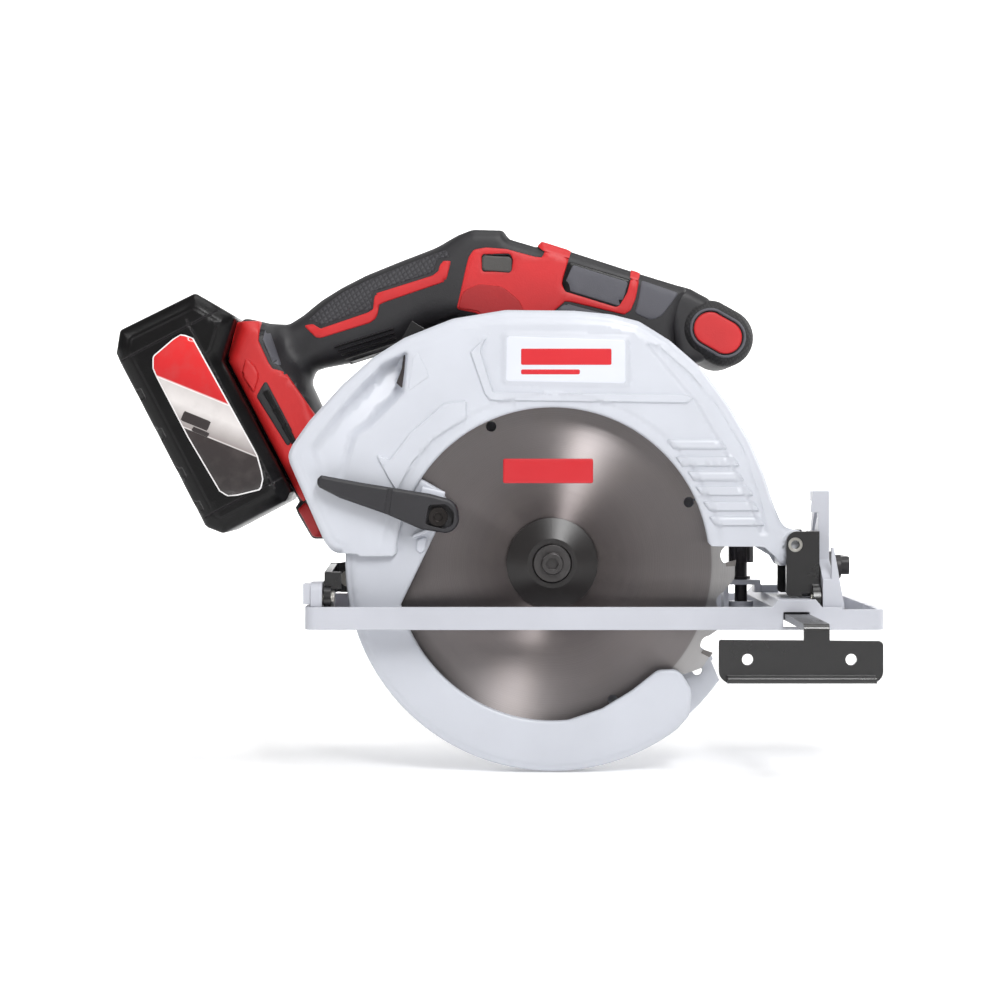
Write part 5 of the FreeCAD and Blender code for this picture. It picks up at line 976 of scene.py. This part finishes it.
# ---------------------------------------------------------------- battery
def make_battery():
    profile = soften(foot_loop([
        (-42.0, -25.0, 2.0), (-35.4, -34.0, 2.5), (2.7, -33.2, 3.0), (14.0, -15.2, 2.0), (-0.4, -0.6, 1.0),
        (-0.4, 66.0, 2.0), (-3.4, 69.2, 2.0), (-36.4, 69.4, 3.0), (-42.0, 63.0, 3.0)]))
    steps = ([0.0, 0.35, 0.9, 4.6, 5.2, 6.2, 7.0], [5.4, 4.4, 3.5, 0.75, 0.45, 0.45, 0.0])
    seams = [foot_loop([(-44, d0), (16, d0), (16, d0 + 0.9), (-44, d0 + 0.9)]) for d0 in (-21.5, 58.6)]
    seams.append(foot_loop([(-6.4, -24), (-5.6, -24), (-5.6, 62), (-6.4, 62)]))
    notches = [soften(foot_loop([(-43.0, d0), (-38.6, d0 + 1.0), (-38.6, d0 + 6.0), (-43.0, d0 + 7.0)]), 0.6)
               for d0 in (-7.0, 13.0, 33.0, 50.0)]

    def relief(points, depth):
        fall = np.interp(depth, *steps)
        for seam in seams:
            fall = fall + feature(points, seam, 0.5, 0.35)
        for notch in notches:
            fall = fall + feature(points, notch, 0.9, 0.6)
        return fall

    lines = []
    for loop in seams:
        lines.append(resample(loop, 1.6))
        lines.append(inset_points(resample(loop, 1.6), 0.36))
    for loop in notches:
        lines.append(resample(loop, 1.2))
        lines.append(inset_points(resample(loop, 1.2), 0.6))
    form("battery_case", [profile], lambda p, d: 8.0 + relief(p, d), lambda p, d: 80.0 - relief(p, d),
         *ON_BATTERY, 3.0, (0.35, 0.9, 2.6, 4.6, 5.3, 6.2, 7.0), lines,
         replaces=("battery_rail_half", "battery_outer_half"), sharp=24)
    label = soften([(-180.0, 121.2, 3.0), (-168.2, 131.3, 2.0), (-162.0, 130.2, 2.0), (-158.6, 124.0, 2.0),
                    (-132.6, 76.7, 3.0), (-129.8, 66.5, 3.0), (-131.0, 60.9, 2.0), (-145.0, 57.5, 3.0),
                    (-149.6, 59.8, 2.0), (-164.2, 84.6, 3.0), (-180.0, 115.0, 3.0)])
    pad("label_border", label, 7.55, 8.6, 0.2, LABEL_WHITE, "battery", "label", 3.0)
    film = [tuple(p) for p in inset_points(label, 0.6)]
    pad("label_film", film, 7.4, 8.5, 0.15, LABEL_FILM, "battery", "label", 2.5, replaces=("battery_label",))
    for index, (along, wide) in enumerate(((13.0, 4.6), (8.0, 2.2))):
        x, z = -165.6 + 4.0 * index, 96.6 - 7.0 * index
        dx, dz = 0.927, -0.375
        pad("label_bar_%d" % (index + 1), soften([
            (x, z), (x + dx * along, z + dz * along), (x + dx * along + dz * wide, z + dz * along - dx * wide),
            (x + dz * wide, z - dx * wide)], 0.3), 7.25, 7.8, 0.1, *ON_LABEL, 0.9)
    # ribs along the outer face, felt when the pack is pulled off
    for index in range(3):
        y0 = 20.0 + 18.0 * index
        pad("pack_rib_%d" % (index + 1), soften(foot_loop([
            (-42.35, 14.0), (-40.0, 13.0), (-40.0, 45.0), (-42.35, 44.0)]), 0.5), y0, y0 + 9.0, 0.9,
            *ON_BATTERY, 2.5)


# ---------------------------------------------------------------- stage, light and camera
def make_stage():
    """A pale floor that curves up into a wall far behind."""
    profile = [(-6.0, -0.0645), (2.2, -0.0645)]
    for k in range(1, 13):
        a = math.radians(90 * k / 12)
        profile.append((2.2 + 1.6 * math.sin(a), -0.0645 + 1.6 * (1 - math.cos(a))))
    profile.append((3.8, 6.0))
    verts = []
    faces = []
    for y, z in profile:
        verts += [(-8.0, y, z), (8.0, y, z)]
    for k in range(len(profile) - 1):
        faces.append((2 * k, 2 * k + 1, 2 * k + 3, 2 * k + 2))
    mesh = bpy.data.meshes.new("floor")
    mesh.from_pydata(verts, [], faces)
    mesh.shade_smooth()
    paper = Nodes("floor_paper")
    fibre = paper.noise(12.0, 3.0)
    tone = paper.ramp(fibre, "Fac", [(0.3, (0.90, 0.90, 0.90)), (0.7, (0.93, 0.93, 0.93))])
    paper.shader.inputs["Emission Color"].default_value = (1, 1, 1, 1)
    paper.shader.inputs["Emission Strength"].default_value = 0.2
    mesh.materials.append(paper.finish((tone, "Color"), 0.9, None))
    floor = bpy.data.objects.new("floor", mesh)
    bpy.context.scene.collection.objects.link(floor)


def area_light(name, place, target, size, power, colour=(1, 1, 1)):
    data = bpy.data.lights.new(name, "AREA")
    data.shape = "RECTANGLE"
    data.size, data.size_y = size
    data.energy = power
    data.color = colour
    lamp = bpy.data.objects.new(name, data)
    lamp.location = place
    lamp.rotation_euler = (Vector(target) - Vector(place)).to_track_quat("-Z", "Y").to_euler()
    bpy.context.scene.collection.objects.link(lamp)


def make_light():
    world = bpy.data.worlds.new("studio")
    world.use_nodes = True
    world.node_tree.nodes["Background"].inputs["Color"].default_value = (1, 1, 1, 1)
    world.node_tree.nodes["Background"].inputs["Strength"].default_value = 0.22
    bpy.context.scene.world = world
    bpy.context.scene.view_settings.view_transform = "Standard"
    area_light("key", (0.34, -1.15, 1.02), (0, 0, 0.05), (0.30, 0.7), 9.5)
    area_light("strip", (0.24, -1.22, 0.74), (0, 0, 0.03), (0.07, 0.45), 5.0)
    area_light("left", (-1.1, -0.7, 0.9), (0, 0, 0.05), (0.4, 0.8), 4.2)
    area_light("top", (0.1, -0.1, 1.5), (0, 0, 0.05), (1.0, 0.8), 7)
    area_light("rim", (1.2, 0.5, 0.7), (0, 0, 0.05), (0.5, 0.9), 9)
    area_light("backdrop", (0, 1.4, 1.6), (0, 3.2, 0.6), (3.0, 1.0), 110)


def make_camera():
    data = bpy.data.cameras.new("camera")
    data.sensor_width = 36.0
    data.lens = 98.84
    data.shift_y = -0.034
    camera = bpy.data.objects.new("camera", data)
    camera.location = (-0.0233, -1.230, 0.0717)
    camera.rotation_euler = (math.radians(90), 0, 0)
    bpy.context.scene.collection.objects.link(camera)
    bpy.context.scene.camera = camera


dress_cad()
make_handle()
make_handle_trim()
make_front_grip()
make_upper_guard()
make_blade_print()
make_lower_guard()
make_battery()
make_stage()
make_light()
make_camera()
